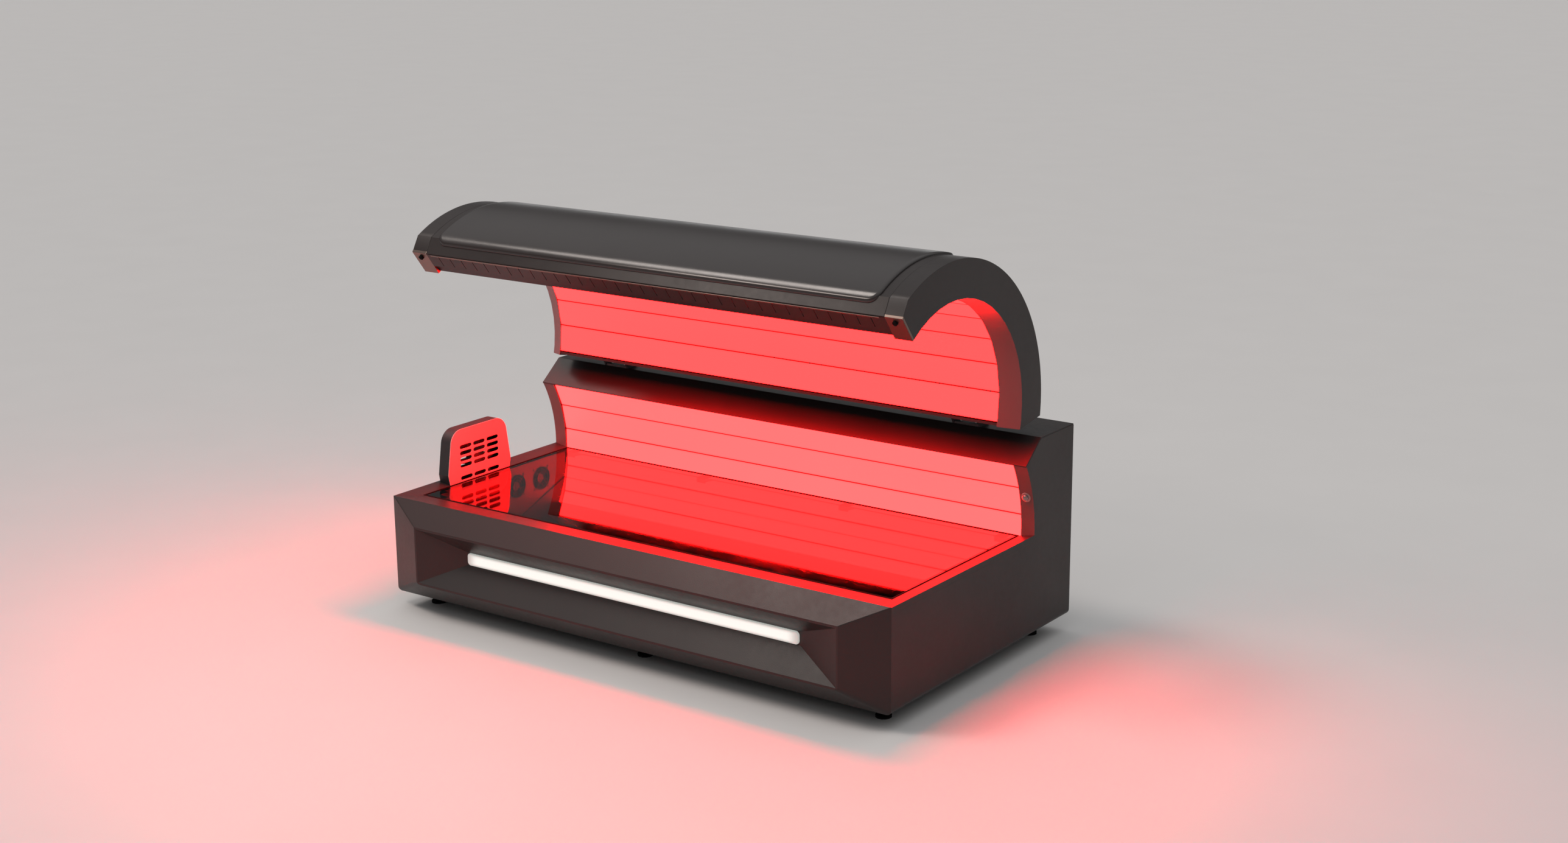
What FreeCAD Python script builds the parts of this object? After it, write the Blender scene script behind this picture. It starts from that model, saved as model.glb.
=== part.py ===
import FreeCAD, Part
import math
import os
from FreeCAD import Vector

# Light therapy pod: a base with a flat clear bed, a curved wall of light panels behind it,
# and a half-round canopy of light panels that swings on a rear hinge. The canopy is open at rest.
# X runs along the pod, Y from front to rear, Z up. Sections are drawn as (d, h):
# d is the distance behind the front panel's plane, h the height above the panels' lower edge.

# Overall body
body_length = 2200.0
body_depth = 1176.0
ridge_reach = 64.0
ground_gap = 60.0
skin = 4.0
side_wall = 53.0
side_edge_round = 20.0
butt_gap = 0.5
curve_gap = 0.3
round_sides = 24
small_sides = 12
hex_sides = 6

# Front moulding
ridge_inset_x = 162.0
ridge_below_top = 77.0
ridge_above_bottom = 70.0
ridge_land = 8.0
mitre_round_low = 30.0
mitre_round_high = 6.0
recess_depth = 72.0
bar_length = 1476.0
bar_height = 46.0
bar_centre_h = 187.0
bar_thick = 7.0
bar_corner = 14.0
bar_bevel = 3.0
bar_seat = 5.0
strip_depth = 18.0

# Bed
rim_height = 367.0
rim_drop = 11.0
rim_front = 95.0
rim_side = 60.0
rim_thick = 22.0
rim_ledge = 15.0
rim_ledge_thick = 5.0
gasket_width = 5.0
gasket_proud = 2.0
acrylic_thick = 10.0
acrylic_corner = 15.0
acrylic_rear_gap = 12.0
bracket_size = 70.0
bracket_thick = 3.0
bracket_leg = 23.0
rear_bracket_width = 40.0

# Light panels
slat_pitch = 104.0
slat_gap = 4.0
slat_thick = 6.0
sink_base = 4.0
fin_height = 20.0
fin_thick = 3.0
fin_count = 4
panel_end_gap = 1.0

# Curved light wall behind the bed
wall_radius = 511.0
wall_setback = 772.0
wall_below_box = 82.9
wall_slats = 5
wall_edge_proud = 5.0
wall_rib_count = 4
wall_rib_depth = 110.0
wall_rib_end_inset = 40.0
rib_thick = 4.0

# Trough under the bed
trough_plate = 4.0
bed_slat_start = 150.0
bed_slat_margin = 20.0
skirt_sheet = 3.0
skirt_step = 12.0
skirt_clear = 5.0
gusset_toe = 300.0
gusset_slope = 0.373

# Rear box
box_height = 712.0
box_depth = 233.0
ledge_overhang = 4.0
rear_inset = 4.0
screw_radius = 4.5
screw_head = 2.5
screw_margin = 30.0
screw_columns = 5
louvre_rows = 8
louvre_length = 420.0
louvre_width = 8.0
louvre_pitch = 24.0
louvre_flat_count = 2
louvre_top = 620.0
louvre_centre_x = 560.0

# Frame and feet
frame_tube = 40.0
frame_wall = 3.0
frame_inset_x = 80.0
frame_inset_d = 90.0
cross_tubes = 4
foot_radius = 28.0
foot_pad = 8.0
foot_stem_radius = 7.0

# Fans in the end walls
fan_square = 92.0
fan_thick = 25.0
fan_bore = 44.5
frame_sides = 16
fan_pitch = 142.0
fan_setback = 491.0
fan_centre_h = 255.0
fan_opening = 47.0
fan_tip_gap = 1.5
fan_hub = 18.0
fan_blades = 7
fan_spoke = 6.0
fan_shaft = 3.0
shaft_clearance = 0.05
shaft_play = 1.0
shaft_end_gap = 1.5
rotor_cap = 4.0
blade_pitch = 38.0
blade_thick = 2.0

# Vent unit at the left end
vent_width = 344.0
vent_height = 304.0
vent_setback = 771.0
vent_crease_h = 395.0
vent_below_crease = 136.0
vent_taper = 26.0
vent_corner = 58.0
vent_wall = 4.0
vent_depth = 48.0
vent_plate = 3.0
vent_plate_inset = 1.0
slot_length = 65.0
slot_height = 15.0
slot_pitch_d = 73.7
slot_pitch_h = 24.3
slot_columns = 3
slot_rows_up = 4
slot_rows_down = 3
slot_flat_count = 3
vent_fan_radius = 92.0
vent_fan_thick = 26.0
vent_fan_hub = 34.0
vent_fan_blades = 9
vent_fan_shaft = 5.0
vent_motor = 6.0

# Round button on the right end wall
button_h = 505.0
button_radius = 11.0
button_proud = 8.0
button_bevel = 2.0
bezel_radius = 18.0
bezel_thick = 3.0
sleeve_wall = 3.0
sleeve_length = 24.0
button_length = 20.0

# Electrical boxes in the rear
supply_count = 4
supply_length = 240.0
supply_depth = 110.0
supply_height = 60.0
supply_chamfer = 3.0
supply_clear = 12.0
control_length = 320.0
control_depth = 70.0
control_height = 210.0
control_h = 330.0
inlet_from_end = 200.0
inlet_h = 110.0
inlet_width = 48.0
inlet_height = 28.0
inlet_flange = 6.0
inlet_flange_thick = 3.0
inlet_body = 30.0
inlet_blade_width = 4.0
inlet_blade_thick = 2.0

# Hinge
hinge_setback = 241.0
hinge_rise = 58.0
hinge_count = 2
hinge_spacing = 1600.0
pin_radius = 10.0
pin_clearance = 0.05
arm_thick = 20.0
arm_eye = 20.0
arm_reach = 92.0
arm_width = 40.0
cartridge_half = 18.0
cartridge_swing = 4.0
cartridge_length = 38.0
cheek_thick = 8.0
cheek_boss = 22.0
hinge_play = 1.0
hinge_foot_thick = 8.0
hinge_foot_depth = 60.0
bolt_radius = 5.0
bolt_head = 4.0
bolt_offset_x = 30.0
bolt_offset_d = 15.0

# Canopy
canopy_radius = 410.0
canopy_forward = 507.0
canopy_lift = 90.0
canopy_slats = 9
canopy_start = -12.0
canopy_end_inset = 41.0
flare_width = 69.0
flare = 25.0
flare_sides = 48
tip_angle = 127.0
shell_depth = 132.0
shell_skin = 4.0
nose_angle = 121.0
tail_angle = -7.0
end_face = 5.0
pocket_margin = 3.0
arc_chords = 12
lip_width = 103.0
lip_sheet = 5.0
lip_strip_share = 64.0
lip_step = 10.0
lip_cap_thick = 8.0
slit_pitch = 55.0
slit_width = 3.0
slit_length = 44.0
trim_width = 6.0
trim_thick = 2.0
trim_end_gap = 20.0
bumper_radius = 9.0
bumper_thick = 7.0
bumper_reach = 82.0
rail_thick = 4.0
rail_below_slat = 7.0
rail_upstand = 5.0
rail_window = 150.0
rail_window_depth = 110.0
canopy_rib_count = 5
raised_panel_proud = 9.0
raised_panel_end_gap = 35.0
raised_panel_low_angle = 118.0
raised_panel_high_angle = 72.0
raised_panel_corner = 45.0
raised_panel_spare = 10.0

# Derived places
half = body_length / 2
inner_half = half - side_wall
front_y = ridge_reach - (body_depth + ridge_reach) / 2
rim_under = rim_height - rim_thick
bed_top = rim_height - rim_drop
bed_under = bed_top - acrylic_thick
bed_half = half - rim_side - gasket_width
bed_front = rim_front + gasket_width
wall_d = body_depth - wall_setback
wall_step = 2 * math.degrees(math.atan(slat_pitch / 2 / wall_radius))
wall_top_angle = wall_slats * wall_step / 2
wall_low_angle = -wall_top_angle
wall_h = box_height - wall_below_box - wall_radius * math.sin(math.radians(wall_top_angle))
sink_depth = sink_base + fin_height
slat_depth = slat_thick + sink_depth
cover_under = box_height - skin
rear_face = body_depth - rear_inset
rear_inner = rear_face - skin
ledge_d = body_depth - box_depth
fan_centre_d = body_depth - fan_setback
vent_centre_d = body_depth - vent_setback
inlet_x = -half + inlet_from_end
hinge_d = body_depth - hinge_setback
hinge_h = box_height + hinge_rise
canopy_d = hinge_d - canopy_forward
canopy_h = hinge_h + canopy_lift
canopy_step = 2 * math.degrees(math.atan(slat_pitch / 2 / canopy_radius))
canopy_end_angle = canopy_start + canopy_slats * canopy_step
canopy_half = half - canopy_end_inset
canopy_led_half = canopy_half - flare_width
arch_radius = canopy_radius + flare
arch_d = canopy_d - flare * math.cos(math.radians(tip_angle))
arch_h = canopy_h - flare * math.sin(math.radians(tip_angle))
shell_radius = arch_radius + shell_depth
shell_inner = shell_radius - shell_skin


# Drawing helpers in section coordinates
def sec(x, d, h):
    return Vector(x, front_y + d, ground_gap + h)


def polar(centre, radius, angle):
    turn = math.radians(angle)
    return (centre[0] + radius * math.cos(turn), centre[1] + radius * math.sin(turn))


def shift(point, along, across, angle):
    """Move a section point along the direction of an angle, and across it towards smaller angles."""
    turn = math.radians(angle)
    return (point[0] + along * math.cos(turn) + across * math.sin(turn),
            point[1] + along * math.sin(turn) - across * math.cos(turn))


def prism(points, x0, x1):
    corners = [sec(x0, d, h) for d, h in points]
    wire = Part.makePolygon(corners + corners[:1])
    return Part.Face(wire).extrude(Vector(x1 - x0, 0, 0))


def outline(x, start, steps):
    """Closed face from a start point and steps: a point is a line, a pair of points is an arc."""
    edges = []
    here = start
    closed = isinstance(steps[-1][0], tuple) and steps[-1][1] == start
    for step in steps if closed else steps + [start]:
        if isinstance(step[0], tuple):
            through, end = step
            edges.append(Part.Arc(sec(x, *here), sec(x, *through), sec(x, *end)).toShape())
        else:
            end = step
            edges.append(Part.LineSegment(sec(x, *here), sec(x, *end)).toShape())
        here = end
    return Part.Face(Part.Wire(edges))


def block(x0, x1, d0, d1, h0, h1):
    return Part.makeBox(x1 - x0, d1 - d0, h1 - h0, sec(x0, d0, h0))


def rod_x(radius, x0, x1, d, h):
    return Part.makeCylinder(radius, x1 - x0, sec(x0, d, h), Vector(1, 0, 0))


def frustum(rect_a, d_a, rect_b, d_b):
    """Flat-faced solid between two rectangles (x0, x1, h0, h1) that stand across the depth, front first."""
    low_a, high_a = sec(rect_a[0], d_a, rect_a[2]), sec(rect_a[1], d_a, rect_a[3])
    low_b, high_b = sec(rect_b[0], d_b, rect_b[2]), sec(rect_b[1], d_b, rect_b[3])
    return Part.makeWedge(low_a.x, low_a.y, low_a.z, low_b.z, low_b.x,
                          high_a.x, high_b.y, high_a.z, high_b.z, high_b.x)


def funnel(rect_a, h_a, rect_b, h_b):
    """Solid between two level rectangles (x0, x1, d0, d1)."""
    wires = []
    for (x0, x1, d0, d1), h in ((rect_a, h_a), (rect_b, h_b)):
        corners = [sec(x0, d0, h), sec(x1, d0, h), sec(x1, d1, h), sec(x0, d1, h)]
        wires.append(Part.makePolygon(corners + corners[:1]))
    return Part.makeLoft(wires, True, True)


def slot(length, width, depth, centre, along, through, flats):
    """Bar with rounded ends, along a direction and extruded through another from its centre point."""
    side = through.cross(along)
    corners = []
    for end in (1, -1):
        middle = centre + along * (end * (length - width) / 2)
        for k in range(flats + 1):
            turn = math.pi * (k / flats - 0.5)
            corners.append(middle + (along * math.cos(turn) + side * math.sin(turn)) * (end * width / 2))
    return Part.Face(Part.makePolygon(corners + corners[:1])).extrude(through * depth)


def flat_sided(sides, radius, start, axis, length):
    """Bar with flats around its axis. Its corners lie on the radius."""
    across = axis.cross(Vector(0, 0, 1)) if abs(axis.z) < 0.9 else Vector(1, 0, 0)
    across.normalize()
    beside = axis.cross(across)
    corners = []
    for k in range(sides):
        turn = math.radians((k + 0.5) * 360.0 / sides)
        corners.append(start + (across * math.cos(turn) + beside * math.sin(turn)) * radius)
    return Part.Face(Part.makePolygon(corners + corners[:1])).extrude(axis * length)


def clear_of(radius, sides):
    """Corner radius of a flat-sided bore whose flats stay clear of a radius."""
    return radius / math.cos(math.pi / sides)


def fuse_all(shapes):
    return shapes[0].fuse(shapes[1:]).removeSplitter() if len(shapes) > 1 else shapes[0]


def group(shapes):
    return Part.makeCompound(shapes)


def mirrored(shape):
    return shape.mirror(Vector(0, 0, 0), Vector(1, 0, 0))


def turned(shape, centre, angle):
    """Copy of a shape turned about the X axis through a section point."""
    copy = shape.copy()
    copy.rotate(sec(0, *centre), Vector(1, 0, 0), angle)
    return copy


def chord_sector(centre, inner, outer, low, high, x0, x1):
    """Ring sector drawn with straight chords that stay between its two radii."""
    step = (high - low) / arc_chords
    clear = clear_of(inner, 360.0 / step)
    angles = [low + step * k for k in range(arc_chords + 1)]
    points = [polar(centre, clear, a) for a in angles] + [polar(centre, outer, a) for a in reversed(angles)]
    return prism(points, x0, x1)


def ring_sector(centre, inner, outer, low, high, x0, x1):
    middle = (low + high) / 2
    face = outline(x0, polar(centre, inner, low), [
        polar(centre, outer, low),
        (polar(centre, outer, middle), polar(centre, outer, high)),
        polar(centre, inner, high),
        (polar(centre, inner, middle), polar(centre, inner, low)),
    ])
    return face.extrude(Vector(x1 - x0, 0, 0))


def save(name, shape):
    shape.exportStep("parts/%s.step" % name)


# Light panels and their finned heat sinks
def light_panel(radius, centre, half_length):
    """Flat panel whose lit face is tangent to a circle, on the rear side of its centre."""
    width = slat_pitch - slat_gap
    d = centre[0] + radius
    return block(-half_length, half_length, d, d + slat_thick,
                 centre[1] - width / 2, centre[1] + width / 2)


def heat_sink(radius, centre, half_length):
    width = slat_pitch - slat_gap
    d = centre[0] + radius + slat_thick
    low = centre[1] - width / 2
    points = [(d, low), (d, low + width)]
    gap = (width - fin_count * fin_thick) / (fin_count - 1)
    for fin in reversed(range(fin_count)):
        h = low + fin * (fin_thick + gap)
        if fin < fin_count - 1:
            points.append((d + sink_base, h + fin_thick))
        points += [(d + sink_depth, h + fin_thick), (d + sink_depth, h)]
        if fin > 0:
            points.append((d + sink_base, h))
    return prism(points, -half_length, half_length)


def panel_array(maker, radius, centre, half_length, first_angle, step, count):
    blank = maker(radius, centre, half_length)
    return [turned(blank, centre, first_angle + step * (i + 0.5)) for i in range(count)]


def rib_corners(radius, centre, first_angle, step, count):
    """Corners where a rib's edge lies flat on the backs of a row of panels."""
    reach = (radius + slat_depth) / math.cos(math.radians(step / 2))
    return [polar(centre, reach, first_angle + step * i) for i in range(count + 1)]


wall_centre = (wall_d, wall_h)
canopy_centre = (canopy_d, canopy_h)
arch_centre = (arch_d, arch_h)


# Base: side panels
def wall_point(radius, h):
    return wall_d + math.sqrt(radius ** 2 - (h - wall_h) ** 2)


edge_radius = wall_radius - wall_edge_proud
wall_tip = polar(wall_centre, edge_radius, wall_top_angle)
ledge_nose = (wall_tip[0] - ledge_overhang, wall_tip[1])
ledge_rise = (cover_under - ledge_nose[1]) / (ledge_d - ledge_nose[0])


def side_profile(inset):
    """Section of a side panel, drawn in by an inset all round."""
    radius = edge_radius + inset
    low = rim_under - inset
    foot = (wall_point(radius, low), low)
    top_angle = wall_top_angle - math.degrees(inset / radius)
    tip = polar(wall_centre, radius, top_angle)
    bend_h = cover_under - inset
    slope_start = (tip[0], ledge_nose[1] + ledge_rise * (tip[0] - ledge_nose[0]) - inset)
    rear = body_depth - inset
    foot_angle = math.degrees(math.asin((low - wall_h) / radius))
    middle = polar(wall_centre, radius, (foot_angle + top_angle) / 2)
    steps = [(inset, low), foot, (middle, tip)]
    if slope_start[1] > tip[1]:
        steps.append(slope_start)
    steps += [(ledge_d, bend_h), (rear, bend_h), (rear, inset)]
    return outline(inner_half, (inset, inset), steps)


def vent_outline(x, grow):
    """Section of the vent unit: a rounded plate that is widest at its crease."""
    wide = vent_width / 2 + grow
    top = vent_crease_h + vent_height - vent_below_crease + grow
    low = vent_crease_h - vent_below_crease - grow
    upper = wide - vent_taper
    points = [(-wide, vent_crease_h), (-upper, top), (upper, top),
              (wide, vent_crease_h), (upper, low), (-upper, low)]
    wire = Part.makePolygon([sec(x, vent_centre_d + d, h) for d, h in points + points[:1]])
    face = Part.Face(wire)
    corner = vent_corner + grow
    solid = face.extrude(Vector(1, 0, 0))
    edges = [e for e in solid.Edges if abs(e.tangentAt(e.FirstParameter).x) > 0.9
             and abs(e.Vertexes[0].Z - ground_gap - vent_crease_h) > vent_plate]
    solid = solid.makeFillet(corner, edges)
    return [f for f in solid.Faces if abs(f.CenterOfMass.x - x) < 1e-6][0]


vent_face_x = -(half - rim_side + vent_plate_inset)
vent_back_x = vent_face_x - vent_plate - vent_depth


def vent_body(grow):
    return vent_outline(vent_back_x - grow, grow).extrude(Vector(vent_depth + vent_plate + 2 * grow, 0, 0))


button_angle = math.degrees(math.asin((button_h - wall_h) / edge_radius))
button_x = half - side_wall / 2
button_point = polar(wall_centre, edge_radius, button_angle)
button_seat = sec(button_x, *button_point)
button_axis = Vector(0, math.cos(math.radians(button_angle)), math.sin(math.radians(button_angle)))
sleeve_radius = button_radius + pin_clearance + sleeve_wall


def side_panel():
    """Moulded end wall with returned edges, open on its inner side. This is the right-hand one."""
    shells = []
    for inset in (0, skin):
        shape = side_profile(inset).extrude(Vector(side_wall - inset, 0, 0))
        outer_low = sec(half - inset, 0, inset)
        edges = [e for e in shape.Edges
                 if all(abs(v.X - outer_low.x) + abs(v.Z - outer_low.z) < 1e-6 for v in e.Vertexes)]
        shells.append(shape.makeFillet(side_edge_round - inset, edges))
    return shells[0].cut(shells[1])


def make_side_panels():
    right = side_panel()
    hole = flat_sided(small_sides, clear_of(sleeve_radius + butt_gap, small_sides),
                      button_seat - button_axis * 2 * skin, button_axis, 4 * skin)
    save("side_panel_right", right.cut(hole))
    save("side_panel_left", mirrored(right).cut(vent_body(butt_gap)))


# Base: front moulding and its light bar
def make_front():
    outer = (-half, half, 0, rim_height)
    ridge = (-half + ridge_inset_x, half - ridge_inset_x, ridge_above_bottom, rim_height - ridge_below_top)
    mouth = (ridge[0] + ridge_land, ridge[1] - ridge_land, ridge[2] + ridge_land, ridge[3] - ridge_land)
    floor_d = recess_depth - ridge_reach
    bar = (-bar_length / 2, bar_length / 2, bar_centre_h - bar_height / 2, bar_centre_h + bar_height / 2)

    def grown(rect, by):
        return (rect[0] - by, rect[1] + by, rect[2] - by, rect[3] + by)

    def eased(shape, inset):
        """The moulding's mitred corners are rounded, the lower ones more."""
        mitres = [e for e in shape.Edges if min(abs(c) for c in e.tangentAt(e.FirstParameter)) > 0.05]
        low = [e for e in mitres if e.CenterOfMass.z < ground_gap + bar_centre_h]
        high = [e for e in mitres if e.CenterOfMass.z > ground_gap + bar_centre_h]
        shape = shape.makeFillet(mitre_round_low - inset, low)
        places = [e.CenterOfMass for e in high]
        high = [e for e in shape.Edges if any((e.CenterOfMass - place).Length < 1e-6 for place in places)]
        return shape.makeFillet(mitre_round_high - inset, high)

    face = eased(frustum(ridge, -ridge_reach, outer, 0), 0)
    hollow = eased(frustum(grown(ridge, -skin), -ridge_reach + skin, grown(outer, -skin), 0), skin)
    recess = frustum(mouth, -ridge_reach, bar, floor_d)
    tray = frustum(grown(mouth, skin), -ridge_reach, grown(bar, skin), floor_d + skin)
    window = frustum(grown(bar, -bar_seat), floor_d - skin, grown(bar, -bar_seat), floor_d + 2 * skin)
    fascia = face.cut(hollow).fuse(tray).cut(recess).cut(window)
    save("front_fascia", fascia.removeSplitter())

    lens = frustum(bar, floor_d - bar_thick, bar, floor_d)
    edges = [e for e in lens.Edges if abs(e.tangentAt(e.FirstParameter).y) > 0.9]
    lens = lens.makeFillet(bar_corner, edges)
    lens_y = front_y + floor_d - bar_thick
    front = [e for e in lens.Edges if all(abs(v.Y - lens_y) < 1e-6 for v in e.Vertexes)]
    save("light_bar_lens", lens.makeChamfer(bar_bevel, front))

    channel_rect = grown(bar, -bar_seat - butt_gap)
    back = floor_d + strip_depth
    channel = frustum(channel_rect, floor_d + skin, channel_rect, back)
    inside = grown(channel_rect, -skin)
    channel = channel.cut(frustum(inside, floor_d, inside, back - skin))
    flange = frustum(grown(bar, skin), floor_d + skin, grown(bar, skin), floor_d + skin + frame_wall)
    flange = flange.cut(frustum(inside, floor_d, inside, back))
    save("light_bar_strip", fuse_all([channel, flange]))


# Base: bed rim, seal, clear sheet and its brackets
bed_rear = wall_point(wall_radius, bed_top) - acrylic_rear_gap


def behind_wall(radius, x0, x1):
    """Everything behind the curved edge, to trim pieces that run up to it."""
    reach = block(x0, x1, wall_d, body_depth, 0, box_height)
    return reach.cut(rod_x(radius, x0, x1, wall_d, wall_h))


def make_bed():
    rim_half = half - rim_side
    outer = block(-half, half, 0, bed_rear + acrylic_rear_gap, rim_under, rim_height)
    slope = funnel((-half, half, 0, body_depth), rim_height,
                   (-rim_half, rim_half, rim_front, body_depth), bed_top)
    well = block(-rim_half, rim_half, rim_front, body_depth, bed_under, rim_height)
    ledge_half = rim_half - gasket_width - rim_ledge
    drop = block(-ledge_half, ledge_half, bed_front + rim_ledge, body_depth, 0, rim_height)
    ledge = block(-rim_half, rim_half, rim_front, bed_rear, bed_under - rim_ledge_thick, bed_under)
    rim = outer.cut([slope, well]).fuse(ledge).cut(drop)
    rim = rim.cut([behind_wall(edge_radius - curve_gap, -half, half), vent_body(butt_gap)])
    save("bed_rim", rim.removeSplitter())

    seal_top = bed_top + gasket_proud
    seal = block(-rim_half, rim_half, rim_front, bed_rear + gasket_width, bed_under, seal_top)
    seal = seal.cut(block(-bed_half, bed_half, bed_front, bed_rear, 0, rim_height))
    save("bed_gasket", seal)

    sheet = block(-bed_half, bed_half, bed_front, bed_rear, bed_under, bed_top)
    front_corners = [e for e in sheet.Edges if abs(e.tangentAt(e.FirstParameter).z) > 0.9
                     and e.Vertexes[0].Y < front_y + bed_front + acrylic_corner]
    sheet = sheet.makeFillet(acrylic_corner, front_corners)
    save("acrylic_bed", sheet)

    corner_x = bed_half - rim_ledge
    corner_d = bed_front + rim_ledge
    low = bed_under - bracket_thick
    corner = prism([(corner_d, low), (corner_d + bracket_size, low), (corner_d + bracket_size, bed_under),
                    (corner_d, bed_under)], corner_x - bracket_size, corner_x)
    corner = corner.cut(block(corner_x - bracket_size, corner_x - bracket_leg, corner_d + bracket_leg,
                              corner_d + bracket_size, 0, rim_height))
    brackets = [corner, mirrored(corner)]
    seams = [wall_top_angle - i * wall_step for i in range(1, wall_slats)]
    room = bed_under - 2 * bracket_thick
    joint_angle = max(a for a in seams if polar(wall_centre, wall_radius, a)[1] < room)
    inner = polar(wall_centre, wall_radius, joint_angle)
    blade_low = inner[1] - bracket_thick / 2
    blade_rear = inner[0] + slat_depth + frame_wall
    web_d = bed_rear - rear_bracket_width
    for x in rib_places():
        x0, x1 = x + rib_thick, x + rib_thick + rear_bracket_width
        blade = block(x0, x1, web_d - bracket_thick, blade_rear, blade_low, blade_low + bracket_thick)
        blade = turned(blade, inner, joint_angle)
        web = block(x0, x1, web_d, web_d + bracket_thick, blade_low, bed_under)
        flange = block(x0, x1, web_d, bed_rear, bed_under - bracket_thick, bed_under)
        brackets.append(fuse_all([blade, web, flange]))
    save("bed_brackets", group(brackets))


# Base: light wall, its ribs, the trough and the panels under the bed
def rib_places():
    """Left faces of the ribs behind the light wall."""
    first = -inner_half + wall_rib_end_inset
    last = inner_half - wall_rib_end_inset - rib_thick - rear_bracket_width
    pitch = (last - first) / (wall_rib_count - 1)
    return [first + pitch * i for i in range(wall_rib_count)]


def make_light_wall():
    half_length = inner_half - panel_end_gap
    spread = (wall_radius, wall_centre, half_length, wall_low_angle, wall_step, wall_slats)
    save("base_led_panels", group(panel_array(light_panel, *spread)))
    save("base_heat_sinks", group(panel_array(heat_sink, *spread)))
    corners = rib_corners(wall_radius, wall_centre, wall_low_angle, wall_step, wall_slats)
    back = max(d for d, h in corners) + wall_rib_depth / 2
    outline_points = corners + [(back, corners[-1][1]), (back, skin), (corners[0][0], skin)]
    save("base_led_ribs", group([prism(outline_points, x, x + rib_thick) for x in rib_places()]))


def make_trough():
    low = skin
    half_length = inner_half - panel_end_gap
    front_d = bed_front + rim_ledge - trough_plate
    save("trough_front", block(-half_length, half_length, front_d, front_d + trough_plate,
                               low, bed_under - rim_ledge_thick))

    face_low = polar(wall_centre, wall_radius, wall_low_angle)
    top = face_low[1] - skirt_clear
    thirds = (top - low) / 3
    path = [(face_low[0] + skirt_sheet, top)]
    for step in range(3):
        d, h = path[-1]
        path.append((d, h - thirds))
        if step < 2:
            path.append((d - skirt_step, h - thirds))
    back = [(d + skirt_sheet, h - skirt_sheet) for d, h in path[1:-1]]
    points = path + [(path[-1][0] + skirt_sheet, low)] + back[::-1] + [(path[0][0] + skirt_sheet, top)]
    save("led_skirt", prism(points, -half_length, half_length))
    skirt_front = path[-1][0]

    end_top = bed_under - rim_ledge_thick
    plate = block(inner_half, inner_half + trough_plate, front_d, bed_rear,
                  low + butt_gap, end_top)
    for offset in (-fan_pitch / 2, fan_pitch / 2):
        place = sec(inner_half, fan_centre_d + offset, fan_centre_h)
        plate = plate.cut(flat_sided(round_sides, fan_opening, place, Vector(1, 0, 0), trough_plate))
    save("trough_end_right", plate)
    save("trough_end_left", mirrored(plate).cut(vent_body(butt_gap)))

    gusset_x = half_length - trough_plate
    toe = (gusset_toe, low)
    gusset_top = low + skin + gusset_slope * (body_depth - gusset_toe)
    reach = prism([toe, (toe[0], low + skin), (body_depth, gusset_top), (body_depth, low)],
                  gusset_x, gusset_x + trough_plate)
    flat_radius = wall_radius - curve_gap
    gusset = reach.common(rod_x(flat_radius, gusset_x, gusset_x + trough_plate, wall_d, wall_h))
    gusset = gusset.common(block(gusset_x, half, gusset_toe, skirt_front - curve_gap, low, box_height).fuse(
        block(gusset_x, half, gusset_toe, body_depth, top + skirt_clear, box_height)))
    save("trough_gussets", group([gusset, mirrored(gusset)]))

    flat = (bed_slat_start + slat_pitch / 2, 0)
    lit = turned(light_panel(-slat_depth, flat, gusset_x - 1), flat, -90)
    sink = turned(heat_sink(-slat_depth, flat, gusset_x - 1), flat, -90)
    lift = Vector(0, 0, low)
    panels, sinks = [], []
    bed_slats = int((skirt_front - bed_slat_start - bed_slat_margin) // slat_pitch)
    for i in range(bed_slats):
        move = lift + Vector(0, i * slat_pitch, 0)
        panels.append(lit.translated(move))
        sinks.append(sink.translated(move))
    save("bed_led_panels", group(panels))
    save("bed_heat_sinks", group(sinks))


# Base: floor, frame, feet and rear box
def make_base_frame():
    edge = inner_half - butt_gap
    save("floor_pan", block(-edge, edge, skin + butt_gap, rear_inner - butt_gap, 0, skin))

    def tube(x0, x1, d0, d1):
        outside = block(x0, x1, d0, d1, -frame_tube, 0)
        if x1 - x0 > d1 - d0:
            d0, d1 = d0 + frame_wall, d1 - frame_wall
        else:
            x0, x1 = x0 + frame_wall, x1 - frame_wall
        return outside.cut(block(x0, x1, d0, d1, frame_wall - frame_tube, -frame_wall))

    long_half = half - frame_inset_x
    front_d, rear_d = frame_inset_d, body_depth - frame_inset_d - frame_tube
    tubes = [tube(-long_half, long_half, d, d + frame_tube) for d in (front_d, rear_d)]
    pitch = (2 * long_half - frame_tube) / (cross_tubes - 1)
    for i in range(cross_tubes):
        x = -long_half + i * pitch
        tubes.append(tube(x, x + frame_tube, front_d + frame_tube, rear_d))
    save("base_frame", group(tubes))

    foot_height = ground_gap - frame_tube
    up = Vector(0, 0, 1)
    pad = flat_sided(small_sides, foot_radius, Vector(0, 0, 0), up, foot_pad)
    foot = fuse_all([pad, flat_sided(hex_sides, foot_stem_radius, Vector(0, 0, 0), up, foot_height)])
    feet = []
    for x in (-long_half + frame_tube / 2, 0, long_half - frame_tube / 2):
        for d in (front_d, rear_d):
            feet.append(foot.translated(sec(x, d + frame_tube / 2, -ground_gap)))
    save("levelling_feet", group(feet))


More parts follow.
